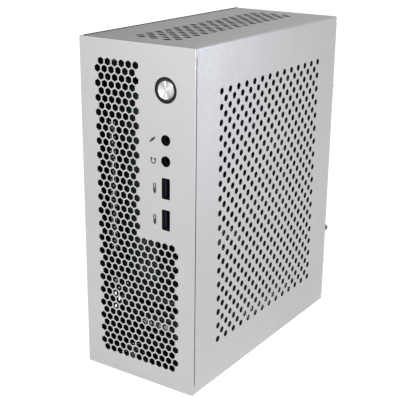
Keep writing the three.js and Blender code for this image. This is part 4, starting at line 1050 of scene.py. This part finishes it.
def fan_frame(name, axis, size, bore, hub, screw):
    """Two square flanges on a duct, and the motor's seat on struts at the low end; sizes in millimetres."""
    node = f"{name}_frame"
    low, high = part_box(node)
    half = (high - low)["xyz".index(axis)] / 2 / MM
    holes = [circle(ORIGIN, bore * MM, 64)]
    holes += [circle((x * screw * MM, y * screw * MM), 1.7 * MM, 16) for x in (-1, 1) for y in (-1, 1)]
    corner = size / 2 * MM
    forms = []
    for z in (FLANGE / 2 - half * MM, half * MM - FLANGE / 2):
        outer = rectangle((-corner, -corner), (corner, corner), 3 * MM, False)
        flange = flat_sheet("flange", outer, holes, FLANGE, 0.3 * MM)
        flange.transform(Matrix.Translation((0, 0, z)))
        forms.append(flange)
    forms.append(lathe("duct", ring_profile(bore, bore + DUCT_WALL, -half, half, 0.2), ORIGIN, "z", 64))
    forms.append(lathe("seat", ring_profile(0, hub, -half, SEAT_THICK - half, 0.3), ORIGIN, "z"))
    for turn in range(STRUTS):
        start, end = Vector((hub - 1, -1.1, -half)), Vector((bore + 0.5, 1.1, SEAT_THICK - half))
        strut = eased_box(start * MM, end * MM, 0.3 * MM)
        lean = Matrix.Rotation((turn + STRUT_LEAN) * 2 * math.pi / STRUTS, 3, "Z")
        bmesh.ops.rotate(strut, verts=strut.verts, matrix=lean)
        forms.append(strut)
    mesh = stand(joined(f"{name}_duct", forms), middle(node), *AXES[axis])
    make_piece(f"{name}_duct", mesh, BLACK, (node,))


def rim(grid):
    """The vertices round the outside of a grid of rows, in order."""
    return grid[0] + [row[-1] for row in grid[1:]] + grid[-1][-2::-1] + [row[0] for row in grid[-2:0:-1]]


def blade(form, hub, tip, half, start, wide):
    """One blade: a thin swept sheet from the hub to the tip, steeper at its root."""
    sides = []
    for side in (-BLADE_HALF, BLADE_HALF):
        grid = []
        for out in range(BLADE_STEPS):
            share = out / (BLADE_STEPS - 1)
            reach = hub + (tip - hub) * share
            row = []
            for across in range(BLADE_STEPS):
                run = across / (BLADE_STEPS - 1)
                angle = start + BLADE_SWEEP * share * share + wide * (1 - 0.12 * share) * (run - 0.5)
                lift = (1 - 0.28 * share) * (0.5 - run + 0.12 * math.sin(math.pi * run))
                z = 2 * half * lift * BLADE_LIFT + side
                row.append(form.verts.new((reach * math.cos(angle), reach * math.sin(angle), z)))
            grid.append(row)
        for row, after in zip(grid, grid[1:]):
            for step in range(BLADE_STEPS - 1):
                form.faces.new((row[step], row[step + 1], after[step + 1], after[step]))
        sides.append(rim(grid))
    low, high = sides
    for step in range(len(low)):
        form.faces.new((low[step - 1], low[step], high[step], high[step - 1]))


def fan_rotor(name, axis, hub, tip, blades):
    """A cupped hub with swept blades, which turns with its own body."""
    node = f"{name}_rotor"
    low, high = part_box(node)
    half = (high - low)["xyz".index(axis)] / 2 / MM
    cup = [(0, -half), (hub, -half), (hub, half - 1.5), (hub - 0.45, half - 0.45), (hub - 1.5, half),
           (hub * 0.5, half), (hub * 0.45, half - 0.3), (0, half - 0.3)]
    form = bmesh.new()
    for number in range(blades):
        start = 2 * math.pi * number / blades
        blade(form, (hub - 0.4) * MM, tip * MM, (half - 0.6) * MM, start, 1.7 * math.pi / blades)
    bmesh.ops.recalc_face_normals(form, faces=form.faces)
    mesh = joined(f"{name}_blades", [lathe("hub", in_mm(cup), ORIGIN, "z", 64), form], 40)
    make_piece(f"{name}_blades", stand(mesh, middle(node), *AXES[axis]), BLACK, (node,), name)


# ---------------------------------------------------------------- power supply
PSU_WALL = 1 * MM
PSU_FAN_HOLE = 17 * MM
PSU_CABLE = (20 * MM, 22 * MM)  # X and Z of the cable's hole
PSU_CABLE_HOLE = 5.2 * MM
PSU_SLOT_CORNER = 1.4 * MM
# How far inside each inset's outline its opening in the rear is cut, in X and Z.
INLET_MARGINS = {"psu_inlet": (0.7 * MM, 1.45 * MM), "psu_switch_frame": (0.7 * MM, 0.7 * MM)}


def supply_tray():
    """The rear with its openings, the slotted front and the floor."""
    low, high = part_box("psu_base")
    outer = face_of("psu_base", 0.5)
    fan = middle("psu_fan_frame")
    openings = [circle((fan.x, fan.z), PSU_FAN_HOLE, 64)]
    for node, (across, up) in INLET_MARGINS.items():
        start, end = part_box(node)
        openings.append(rectangle((start.x + across, start.z + up), (end.x - across, end.z - up)))
    slots = [circle(PSU_CABLE, PSU_CABLE_HOLE, 32)]
    for row in range(5):
        z = (11.5 + row * 6.5) * MM
        slots.append(rectangle((-36 * MM, z), (6 * MM, z + 3 * MM), PSU_SLOT_CORNER))
    ease = 0.15 * MM
    rear = slab("rear", outer, openings, (high.y - PSU_WALL, high.y), ease)
    front = slab("front", outer, slots, (low.y, low.y + PSU_WALL), ease)
    floor = eased_box(low, (high.x, high.y, low.z + PSU_WALL), ease)
    make_joined("psu_tray", [rear, front, floor], COATED, ("psu_base",))


def supply_hood():
    """The lid and both sides in one bent sheet, with slots in its top."""
    low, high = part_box("psu_lid")
    start = high.z - low.z - BEND_OUT + BEND * math.pi / 2
    end = start + high.x - low.x - 2 * BEND_OUT
    long = high.y - low.y
    holes = []
    for row in range(7):
        across = start + (12 + row * 9) * MM
        holes.append(rectangle((across, 20 * MM), (across + 3 * MM, 62 * MM), PSU_SLOT_CORNER))
    outer = rectangle((0, 0), (end + start, long), clockwise=False)
    mesh = flat_sheet("psu_hood", outer, holes, PSU_WALL, 0.1 * MM)
    bend_sheet(mesh, [(0, end, 1), (0, start, -1)])
    mesh.transform(Matrix.Translation((low.x + BEND_OUT - start, low.y, high.z - PSU_WALL / 2)))
    make_piece("psu_hood", smooth(mesh), COATED, ("psu_lid",))


def wire_rings(centre, radii, wire, count, first, second):
    """Closed wire rings round a centre, in the plane of two directions; lengths in millimetres."""
    rings = []
    for radius in radii:
        turns = [2 * math.pi * step / count for step in range(count)]
        ring = [centre + (first * math.cos(turn) + second * math.sin(turn)) * radius * MM for turn in turns]
        rings.append(tube("ring", ring, wire * MM, closed=True))
    return rings


def wire_spokes(centre, reaches, wire, turns, first, second):
    """Straight wires through points at the given reaches from a centre."""
    spokes = []
    for turn in turns:
        way = (first * math.cos(turn) + second * math.sin(turn)) * MM
        spokes.append(tube("spoke", [centre + way * reach for reach in reaches], wire * MM))
    return spokes


def fan_guard():
    fan = middle("psu_fan_frame")
    face = REAR_OUT - SHEET - 0.2 * MM
    rings = wire_rings(Vector((fan.x, face, fan.z)), (4, 8, 12, 16), 0.5, 24, ALONG_X, UP)
    turns = [math.pi / 4 + turn * math.pi / 2 for turn in range(4)]
    spokes = wire_spokes(Vector((fan.x, face - 0.7 * MM, fan.z)), (3, 10, 18), 0.6, turns, ALONG_X, UP)
    make_joined("psu_fan_guard", rings + spokes, PLATED, angle=50)


def recessed_body(name, node, corner, margin, recess):
    """A flange and a body, open at the rear by a recess; margin is the flange's width in X and Z."""
    low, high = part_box(node)
    step = 2 * MM  # the flange's thickness and the recess floor's
    outer = face_of(node, corner)
    across, up = Vector(margin) * MM
    inner = rectangle((low.x + across, low.z + up), (high.x - across, high.z - up), 0.5 * MM, False)
    flange = slab("flange", outer, [recess], (high.y - step, high.y), 0.25 * MM)
    body = slab("body", inner, [recess], (low.y + step, high.y - step))
    floor = slab("floor", inner, [], (low.y, low.y + step))
    make_joined(name, [flange, body, floor], BLACK, (node,))


def mains_inlet():
    """The inlet with its keyed recess and three blades, and the switch's frame beside it."""
    node = "psu_inlet"
    at = middle(node)
    wide, tall, cut = 7.75 * MM, 12 * MM, 3.5 * MM
    left, right, foot, top = at.x - wide, at.x + wide, at.z - tall, at.z + tall
    recess = [(left, foot), (left, top), (right - cut, top), (right, top - cut), (right, foot + cut),
              (right - cut, foot)]
    recessed_body("inlet_body", node, 2, (1, 1.75), recess)
    low, high = box_mm(node)
    spans = [(around(at.x / MM + across, 4), (low.y + 1.5, high.y - 3), around(at.z / MM + up, 2))
             for across, up in ((-2, -7), (2, 0), (-2, 7))]
    blocks("inlet_blades", PLATED, spans, 0.4)

    node = "psu_switch_frame"
    at = middle(node)
    wide, tall = 4.5 * MM, 8.5 * MM
    opening = rectangle((at.x - wide, at.z - tall), (at.x + wide, at.z + tall), 0.4 * MM)
    recessed_body("switch_frame", node, 1.2, (1, 1), opening)


def domes(name, places, radius, tall):
    """Pan heads with a dimple, facing right, their seats at the given places; sizes in millimetres."""
    outline = [(0, 0), (radius, 0), (radius, tall * 0.35), (radius * 0.85, tall * 0.75), (radius * 0.5, tall),
               (radius * 0.3, tall), (radius * 0.2, tall * 0.7), (0, tall * 0.7)]
    make_joined(name, [lathe("head", in_mm(outline), Vector(place) * MM, "x", 28) for place in places], STEEL)


def supply_details():
    """A blank label and four screws on the power supply's right side, and terminals on its front."""
    low, high = box_mm("psu_lid")
    blocks("psu_label", WHITE, [((high.x - 0.05, high.x + 0.12), (-28, 44), (15, 36))], 0.05)
    domes("psu_screws", [(high.x, y, z) for y in (low.y + 5, high.y - 5) for z in (10, 41)], 2.6, 1.5)
    front = box_mm("psu_base")[0].y
    ys = (front - 1, front + 0.2)
    spans = [(around(-21.5 + 4.6 * step, 3), ys, around(24.2, 2.8)) for step in range(5)]
    blocks("psu_terminals", WHITE, spans)


# ---------------------------------------------------------------- guard, and painted shade behind the vents and in the seam
GUARD_MIDDLE = (-23 * MM, -74 * MM)
GUARD_LIFT = 0.9 * MM  # of its wires' middle above the floor
SCREEN = ((8, 36.5), (64, 210))  # its spans in X and Z, in millimetres


def floor_guard():
    """A wire guard flat on the floor behind the mesh."""
    centre = Vector((*GUARD_MIDDLE, CHASSIS[0].z + SHEET + GUARD_LIFT))
    rings = wire_rings(centre, (2.5, 5, 7.5, 10), 0.42, 16, ALONG_X, ALONG_Y)
    below = centre - UP * 0.4 * MM
    spokes = wire_spokes(below, (-10.5, 0, 10.5), 0.4, (math.pi / 4, -math.pi / 4), ALONG_X, ALONG_Y)
    make_joined("floor_guard", rings + spokes, PLATED, angle=50)


def shade_pieces():
    """A black sheet behind the rear vents, painted shade for the inside, and a thin black strip along the
    cover's left edge, painted shadow in the seam there.
    """
    inner = REAR_OUT - SHEET - 0.1 * MM
    (left, right), (foot, head) = SCREEN
    # Painted shade: a black sheet that keeps the inside dark behind the rear vents.
    shade_screen = eased_box((left * MM, inner - 1 * MM, foot * MM), (right * MM, inner, head * MM))
    make_joined("rear_vent_shade_screen", [shade_screen], SHADE_LINING)
    # Painted shadow: a thin black strip in the seam between the left wall's top and the cover.
    low, top = COVER[0], COVER[1].z
    end = Vector((low.x + 0.5 * MM, COVER[1].y - BEND_OUT, top + 0.42 * MM))
    seam_shadow = eased_box((low.x, low.y, top - 0.3 * MM), end, 0.12 * MM)
    make_joined("cover_seam_shadow", [seam_shadow], SHADE_LINING, body="cover")


# ---------------------------------------------------------------- rear ports
PORT_DEPTH = 10  # of a mouth; sizes here are in millimetres
AUDIO_HEIGHTS = (6, 17, 28)
AUDIO_BORE = 1.9
PIN_PLACES = (-3.5, -1.2, 1.2, 3.5)
NETWORK_PINS = 8
NETWORK_PITCH = 0.98
# A mouth is its kind, its middle's distance from its block's left, its width in Z and its opening in X.
PORT_MOUTHS = {
    "rear_usb_stack": (("data", 4, 12.6, 5.2), ("data", 12, 12.6, 5.2)),
    "rear_video_ports": (("video", 4, 15, 4.6), ("video", 10.8, 16, 4.8)),
    "rear_lan_stack": (("data", 4, 12.6, 5.2), ("data", 11, 12.6, 5.2), ("network", 21.6, 11.8, 8.6)),
}
TONGUE_COLOURS = {"rear_usb_stack": BLUE, "rear_video_ports": BLACK, "rear_lan_stack": BLACK}
# How far from a mouth's middle its tongue and its contacts lie.
TONGUE_SHIFT = {"data": 0.9, "video": 0}
CONTACT_SHIFT = {"data": -0.1, "video": -1}


def rear_port(node, mouths):
    """A plated shell round its mouths, and in each mouth a tongue or a comb of contacts."""
    low, high = box_mm(node)
    z = (low.z + high.z) / 2
    floor = high.y - PORT_DEPTH
    holes = []
    tongues = []
    contacts = []
    for kind, height, wide, tall in mouths:
        x = low.x + height
        corners = [(Vector((x, z)) + side * Vector((tall, wide)) / 2) * MM for side in (-1, 1)]
        holes.append(rectangle(*corners, 0.5 * MM))
        if kind == "network":
            for step in range(NETWORK_PINS):
                pin = NETWORK_PITCH * (step - (NETWORK_PINS - 1) / 2)
                contacts.append((around(x + 2.4, 0.5), (floor, high.y - 2), around(z + pin, 0.5)))
            continue
        tongues.append((around(x + TONGUE_SHIFT[kind], 1.8), (floor, high.y - 1.2), around(z, wide - 2.4)))
        x += CONTACT_SHIFT[kind]
        contacts += [(around(x, 0.25), (floor, high.y - 2), around(z + pin, 1)) for pin in PIN_PLACES]
    outer = face_of(node, 0.6)
    shell = slab("shell", outer, holes, (floor * MM, high.y * MM), 0.15 * MM)
    block = slab("block", outer, [], (low.y * MM, floor * MM))
    make_joined(f"{node}_shell", [shell, block], PLATED, (node,))
    blocks(f"{node}_tongues", TONGUE_COLOURS[node], tongues, 0.2)
    blocks(f"{node}_contacts", GOLD, contacts, 0.05)


def rear_audio():
    """Three jacks in one block, each in a coloured ring."""
    node = "rear_audio_jacks"
    low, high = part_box(node)
    z = middle(node).z
    floor = high.y - PORT_DEPTH * MM
    xs = [low.x + height * MM for height in AUDIO_HEIGHTS]
    outer = face_of(node, 0.8)
    body = slab("body", outer, [circle((x, z), AUDIO_BORE * MM, 28) for x in xs], (floor, high.y), 0.2 * MM)
    block = slab("block", outer, [], (low.y, floor))
    make_joined("rear_audio_body", [body, block], BLACK, (node,))
    for x, material, name in zip(xs, (BLUE, WHITE, SMOKY), ("blue", "white", "smoky")):
        outline = ring_profile(AUDIO_BORE, 3.4, -0.3, 0.15, 0.1)
        turned(f"audio_ring_{name}", outline, (x, high.y, z), material, count=40)


def io_shield():
    node = "io_shield"
    low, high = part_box(node)
    holes = []
    gap = IO_GAP
    for port in (*PORT_MOUTHS, "rear_audio_jacks"):
        start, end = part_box(port)
        holes.append(rectangle((start.x - gap, start.z - gap), (end.x + gap, end.z + gap), 0.5 * MM))
    mesh = slab("io_shield_plate", face_of(node, 1.5), holes, (low.y, high.y), 0.15 * MM)
    make_piece("io_shield_plate", smooth(mesh), STEEL, (node,), slot="plated_steel")


# ---------------------------------------------------------------- parts on the main board, in millimetres
BOARD_X = box_mm("motherboard")[1].x
SMALL_CANS = ((-53, 200), (-46, 200), (-53, 84), (-46, 84), (61, 158), (61, 194), (66, 205), (58, 205))
# Each is how tall it stands, its middle in Y and Z, and its size in Y and Z.
LOOSE_CHIPS = ((1.4, 4, 76, 5, 6), (1.5, 62, 72, 9, 9), (1.5, 60, 184, 7, 7), (1.6, -22, 92, 8, 4),
               (1.2, 70, 214, 3, 5), (1.2, 69.9, 213.8, 3, 5))
HEADERS = ((2.6, -48.75, 62, 12, 5.2), (2.6, -55.75, 56, 10, 5.2), (2.6, 66, 57, 18, 2.8),
           (8.5, -51, 182, 15, 6), (8.5, -51, 172, 15, 6))
SPECK_COLUMNS = ((-56.5, 14.6), (-44.5, 14.6), (57.5, 14.6), (-5.5, 2.8))  # Y and the pitch in Z
SPECKS = 36
BATTERY = Vector((BOARD_X, 24, 80)) * MM


def on_board(tall, y, z, deep, wide):
    """Spans of a block that stands on the board, its middle at (y, z)."""
    return (BOARD_X, BOARD_X + tall), around(y, deep), around(z, wide)


def can(y, z, radius, tall):
    """A capacitor: a can with a rolled rim and a groove above its seal."""
    outline = [(0, 0), (radius, 0), (radius, 0.9), (radius - 0.25, 1.3), (radius, 1.7), (radius, tall - 0.4),
               (radius - 0.4, tall), (radius - 0.7, tall - 0.15), (0, tall - 0.15)]
    return lathe("can", in_mm(outline), Vector((BOARD_X, y, z)) * MM, "x", 28)


def speck(step):
    """A resistor in one of the columns, a little off its middle."""
    columns = len(SPECK_COLUMNS)
    y, pitch = SPECK_COLUMNS[step % columns]
    return on_board(0.7, y + 1.2 * math.sin(step * 2.4), 66 + step // columns * pitch, 1.0, 1.9)


def board_parts():
    """What is soldered on the main board."""
    cans = [can(53.8, 97 + step * 8.4, 3.2, 8.5) for step in range(6)]
    cans += [can(y, z, 2.6, 7) for y, z in SMALL_CANS]
    make_joined("board_capacitors", cans, PLATED)
    blocks("board_chokes", BARE, [on_board(5.5, 62, 104 + step * 10.2, 6.8, 6.8) for step in range(4)], 0.8)
    chips = [on_board(1.5, -49.5, 96 + step * 24, 7, 9) for step in range(4)]
    blocks("board_chips", CHIP, chips + [on_board(*chip) for chip in LOOSE_CHIPS], 0.2)
    blocks("board_resistors", WHITE, [speck(step) for step in range(SPECKS)], 0.15)
    blocks("board_headers", BLACK, [on_board(*header) for header in HEADERS], 0.25)
    blocks("board_pins", GOLD, [on_board(8.4, 58.4 + 2.54 * step, 57, 0.64, 0.64) for step in range(7)], 0.12)


def battery():
    holder = ring_profile(10.2, 11.6, 0, 3.4, 0.3)
    turned("battery_holder", holder, BATTERY, BLACK, (), "x", 56)
    cell = in_mm([(0, 0.2), (10, 0.2), (10, 2.8), (9.4, 3.3), (8.2, 3.3), (8, 3.15), (0, 3.15)])
    turned("battery_cell", cell, BATTERY, PLATED, (), "x", 56)


def board_screws():
    dome = in_mm([(0, 0.1), (2.9, 0.1), (2.9, 0.7), (2.5, 1.5), (1.6, 1.95), (0, 2.1)])
    screws = []
    for number in range(1, 5):
        at = middle(f"standoff_{number}")
        screws.append(lathe("screw", dome, (BOARD_X * MM, at.y, at.z), "x", 28))
    make_joined("board_screws", screws, STEEL)


def drive_details():
    """Chips and a screw on the M.2 drive, and parts on the front port board."""
    low, high = box_mm("m2_drive")
    z = (low.z + high.z) / 2
    xs = (high.x, high.x + 1.1)
    sizes = ((14, 12, 16), (31, 14, 12), (50, 13, 18), (67, 12, 17))
    chips = [(xs, around(low.y + along, deep), around(z, wide)) for along, deep, wide in sizes]
    blocks("m2_chips", CHIP, chips, 0.15)
    domes("m2_screw", [(high.x, high.y - 1.2, z)], 2.4, 1.2)
    low, high = box_mm("front_io_board")
    xs = (high.x, high.x + 1.2)
    spots = ((-70, 128), (-70, 146), (-70, 170), (-76, 137))
    blocks("front_board_chips", CHIP, [(xs, around(y, 5), around(z, 6)) for y, z in spots], 0.15)
    blocks("front_board_header", BLACK, [((low.x - 5.5, low.x), around(-68, 5.4), around(118, 9))], 0.25)


MEMORY_CHIPS = 8
MEMORY_PADS = 60


def memory(number):
    """A memory module: a thin board with chips on both sides and its row of contacts."""
    node = f"ram_module_{number}"
    low, high = box_mm(node)
    y = (low.y + high.y) / 2
    blocks(f"{node}_card", BOARD, [((low.x, high.x), around(y, 1.3), (low.z, high.z))], 0.15, (node,))
    pitch = (high.z - low.z) / MEMORY_CHIPS
    xs = (BOARD_X + 14.3, BOARD_X + 25.8)
    chips = [(xs, around(y, 3.2), around(low.z + (step + 0.5) * pitch, 9.4)) for step in range(MEMORY_CHIPS)]
    blocks(f"{node}_chips", CHIP, chips, 0.2)
    pitch = (high.z - low.z - 4) / MEMORY_PADS
    xs, ys, start = (low.x + 0.3, low.x + 4.4), around(y, 1.36), low.z + 2
    pads = [(xs, ys, around(start + (pad + 0.5) * pitch, pitch * 0.55)) for pad in range(MEMORY_PADS)]
    blocks(f"{node}_contacts", GOLD, pads, 0.02)


def front_header():
    """A long header on the board's front edge, with staggered rows of pale contact seats."""
    front = box_mm("motherboard")[0].y
    blocks("front_header_body", BLACK, [((BOARD_X, BOARD_X + 5.6), (front + 0.3, front + 3.5), (80, 177.5))])
    pitch, ys = 2.5, (front, front + 0.8)
    contacts = []
    for row, x in enumerate((-33.9, -32.1, -30.3)):
        start = 81.5 + row % 2 * pitch / 2
        contacts += [(around(x, 1.1), ys, around(start + pitch * step, 1.2)) for step in range(38)]
    blocks("front_header_contacts", WHITE, contacts, 0.15)


# ---------------------------------------------------------------- cables
# Each cable's radius and the points of the route that it is held on, in millimetres.
CABLES = {
    "board_power_cable": (4.5, (
        (-9, 26.25, 57.5), (-1, 25.25, 57.5), (14, 8.25, 57), (22, -13.75, 55), (22, -41.75, 54),
        (21, -59.75, 53), (20, -72.75, 47), (20, -77.75, 35), (20, -72.75, 24), (20, -62.05, 22))),
    "front_usb_cable": (2.1, (
        (24, -62.45, 118), (22, -55.75, 110), (14, -49.75, 92), (-2, -48.75, 74), (-18, -48.75, 64),
        (-30, -48.75, 62), (-34.3, -48.75, 62))),
    "power_switch_lead": (1.1, (
        (22.8, -68.45, 204.8), (21, -59.75, 202), (14, -52.75, 184), (8, -50.75, 150), (6, -51.75, 110),
        (-4, -54.75, 78), (-18, -55.75, 60), (-34.3, -55.75, 56))),
}


def cables():
    for node, (radius, route) in CABLES.items():
        mesh = tube(f"{node}_sleeve", [Vector(point) * MM for point in route], radius * MM)
        make_piece(f"{node}_sleeve", mesh, SLEEVE, (node,))


# ---------------------------------------------------------------- finishes of the CAD's own nodes
NODE_FINISH = (
    (BARE, ("standoff_1", "standoff_2", "standoff_3", "standoff_4")),
    (SINK, ("cpu_heatsink", "chipset_heatsink")),
    (COATED, ("front_frame",)),
    (PLATED, ("cpu",)),
    (BLACK, ("power_switch_body", "cpu_socket", "psu_rocker", "expansion_slot", "ram_slot_1", "ram_slot_2",
             "ram_latch_1", "ram_latch_2")),
    (BOARD, ("motherboard", "front_io_board", "m2_drive", "psu_board")),
    (WHITE, ("board_power_plug",)),
)


def finish_nodes():
    """Gives each CAD node that stays in view its material."""
    for material, nodes in NODE_FINISH:
        for node in nodes:
            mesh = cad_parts[node].data
            mesh.materials.clear()
            mesh.materials.append(material)


# ---------------------------------------------------------------- stage and light
def set_stage(name, colour, strength):
    """Gives the object just made a pale glowing finish and makes it part of the stage."""
    item = bpy.context.object
    item.name = name
    shader = Shader(f"pale_{name}", (0.3, 0.3, 0.3), 0.9)
    shader.surface.inputs["Emission Color"].default_value = (*colour, 1)
    shader.surface.inputs["Emission Strength"].default_value = strength
    tone = shader.mix(shader.noise(0.4, 3), (0.29, 0.29, 0.29), (0.31, 0.31, 0.31))
    item.data.materials.append(shader.done(tone))
    return item


def make_stage():
    """A wide pale floor, and a pale wall round it that gives low views no edge and lights nothing."""
    bpy.ops.mesh.primitive_plane_add(size=30)
    set_stage("floor", (1, 0.985, 0.983), 0.86)
    bpy.ops.mesh.primitive_cylinder_add(vertices=96, radius=14, depth=20, end_fill_type="NOTHING",
                                        location=(0, 0, 9))
    wall = set_stage("backdrop", (1, 1, 1), 1.1)
    for ray in ("diffuse", "glossy", "transmission", "volume_scatter", "shadow"):
        setattr(wall, f"visible_{ray}", False)


def area_light(name, place, size, power, colour=(1, 1, 1), target=(0, 0, 0.1), spread=180):
    """A round soft light at place, turned to target, whose beam is spread degrees wide."""
    data = bpy.data.lights.new(name, "AREA")
    data.spread = math.radians(spread)
    data.shape = "DISK"
    data.size = size
    data.energy = power
    data.color = colour
    light = bpy.data.objects.new(name, data)
    light.location = place
    light.rotation_mode = "QUATERNION"
    light.rotation_quaternion = (Vector(target) - Vector(place)).to_track_quat("-Z", "Y")
    light.visible_camera = False
    bpy.context.scene.collection.objects.link(light)


# Light of the room by direction, from the object's left (-1) to its right (1).
ROOM_LIGHT = (
    (-1.0, (0.275, 0.255, 0.235)),
    (-0.7, (0.3, 0.28, 0.26)),
    (-0.3, (0.86, 0.84, 0.82)),
    (0.3, (0.92, 0.93, 0.96)),
    (1.0, (0.92, 0.94, 1.0)),
)


def make_room():
    """A pale studio around the stage: brighter and a little cooler on the right, dimmer on the left."""
    world = bpy.data.worlds.new("studio")
    world.use_nodes = True
    nodes = world.node_tree.nodes
    links = world.node_tree.links
    axes = nodes.new("ShaderNodeSeparateXYZ")
    links.new(nodes.new("ShaderNodeTexCoord").outputs["Generated"], axes.inputs["Vector"])
    share = nodes.new("ShaderNodeMapRange")
    share.inputs["From Min"].default_value = -1
    links.new(axes.outputs["X"], share.inputs["Value"])
    ramp = nodes.new("ShaderNodeValToRGB")
    links.new(share.outputs["Result"], ramp.inputs["Fac"])
    fill_ramp(ramp.color_ramp, [((side + 1) / 2, colour) for side, colour in ROOM_LIGHT])
    links.new(ramp.outputs["Color"], nodes["Background"].inputs["Color"])
    bpy.context.scene.world = world


def make_light():
    bpy.context.scene.view_settings.view_transform = "Standard"
    make_room()
    area_light("key", (1.2, -2.0, 2.0), 1.6, 23)
    area_light("fill", (-0.45, -2.2, 0.25), 1.6, 19)
    area_light("side", (0.34, -0.05, 0.31), 0.14, 0.35, (0.78, 0.86, 1.0), (0.04, -0.09, 0.17), 60)


make_camera()
make_stage()
make_light()
front_panel()
cover_sheet()
chassis_sheet()
rear_panel()
power_button()
button_spring()
for jack in ("mic_jack", "headphone_jack"):
    audio_jack(jack)
microphone_mark()
headset_mark()
for socket in ("upper", "lower"):
    usb_socket(socket)
    plug_mark(socket)
pan_screw("cover_screw_upper")
pan_screw("cover_screw_lower")
thumbscrew()
feet()
fan_frame("cpu_fan", "x", 80, 38, 15, 35.75)
fan_rotor("cpu_fan", "x", 16, 37, 7)
fan_frame("psu_fan", "y", 37.8, 17.7, 9, 16)
fan_rotor("psu_fan", "y", 9.5, 16.9, 5)
supply_tray()
supply_hood()
supply_details()
fan_guard()
mains_inlet()
for port, mouths in PORT_MOUTHS.items():
    rear_port(port, mouths)
rear_audio()
io_shield()
board_parts()
battery()
board_screws()
for number in (1, 2):
    memory(number)
drive_details()
front_header()
floor_guard()
shade_pieces()
cables()
finish_nodes()
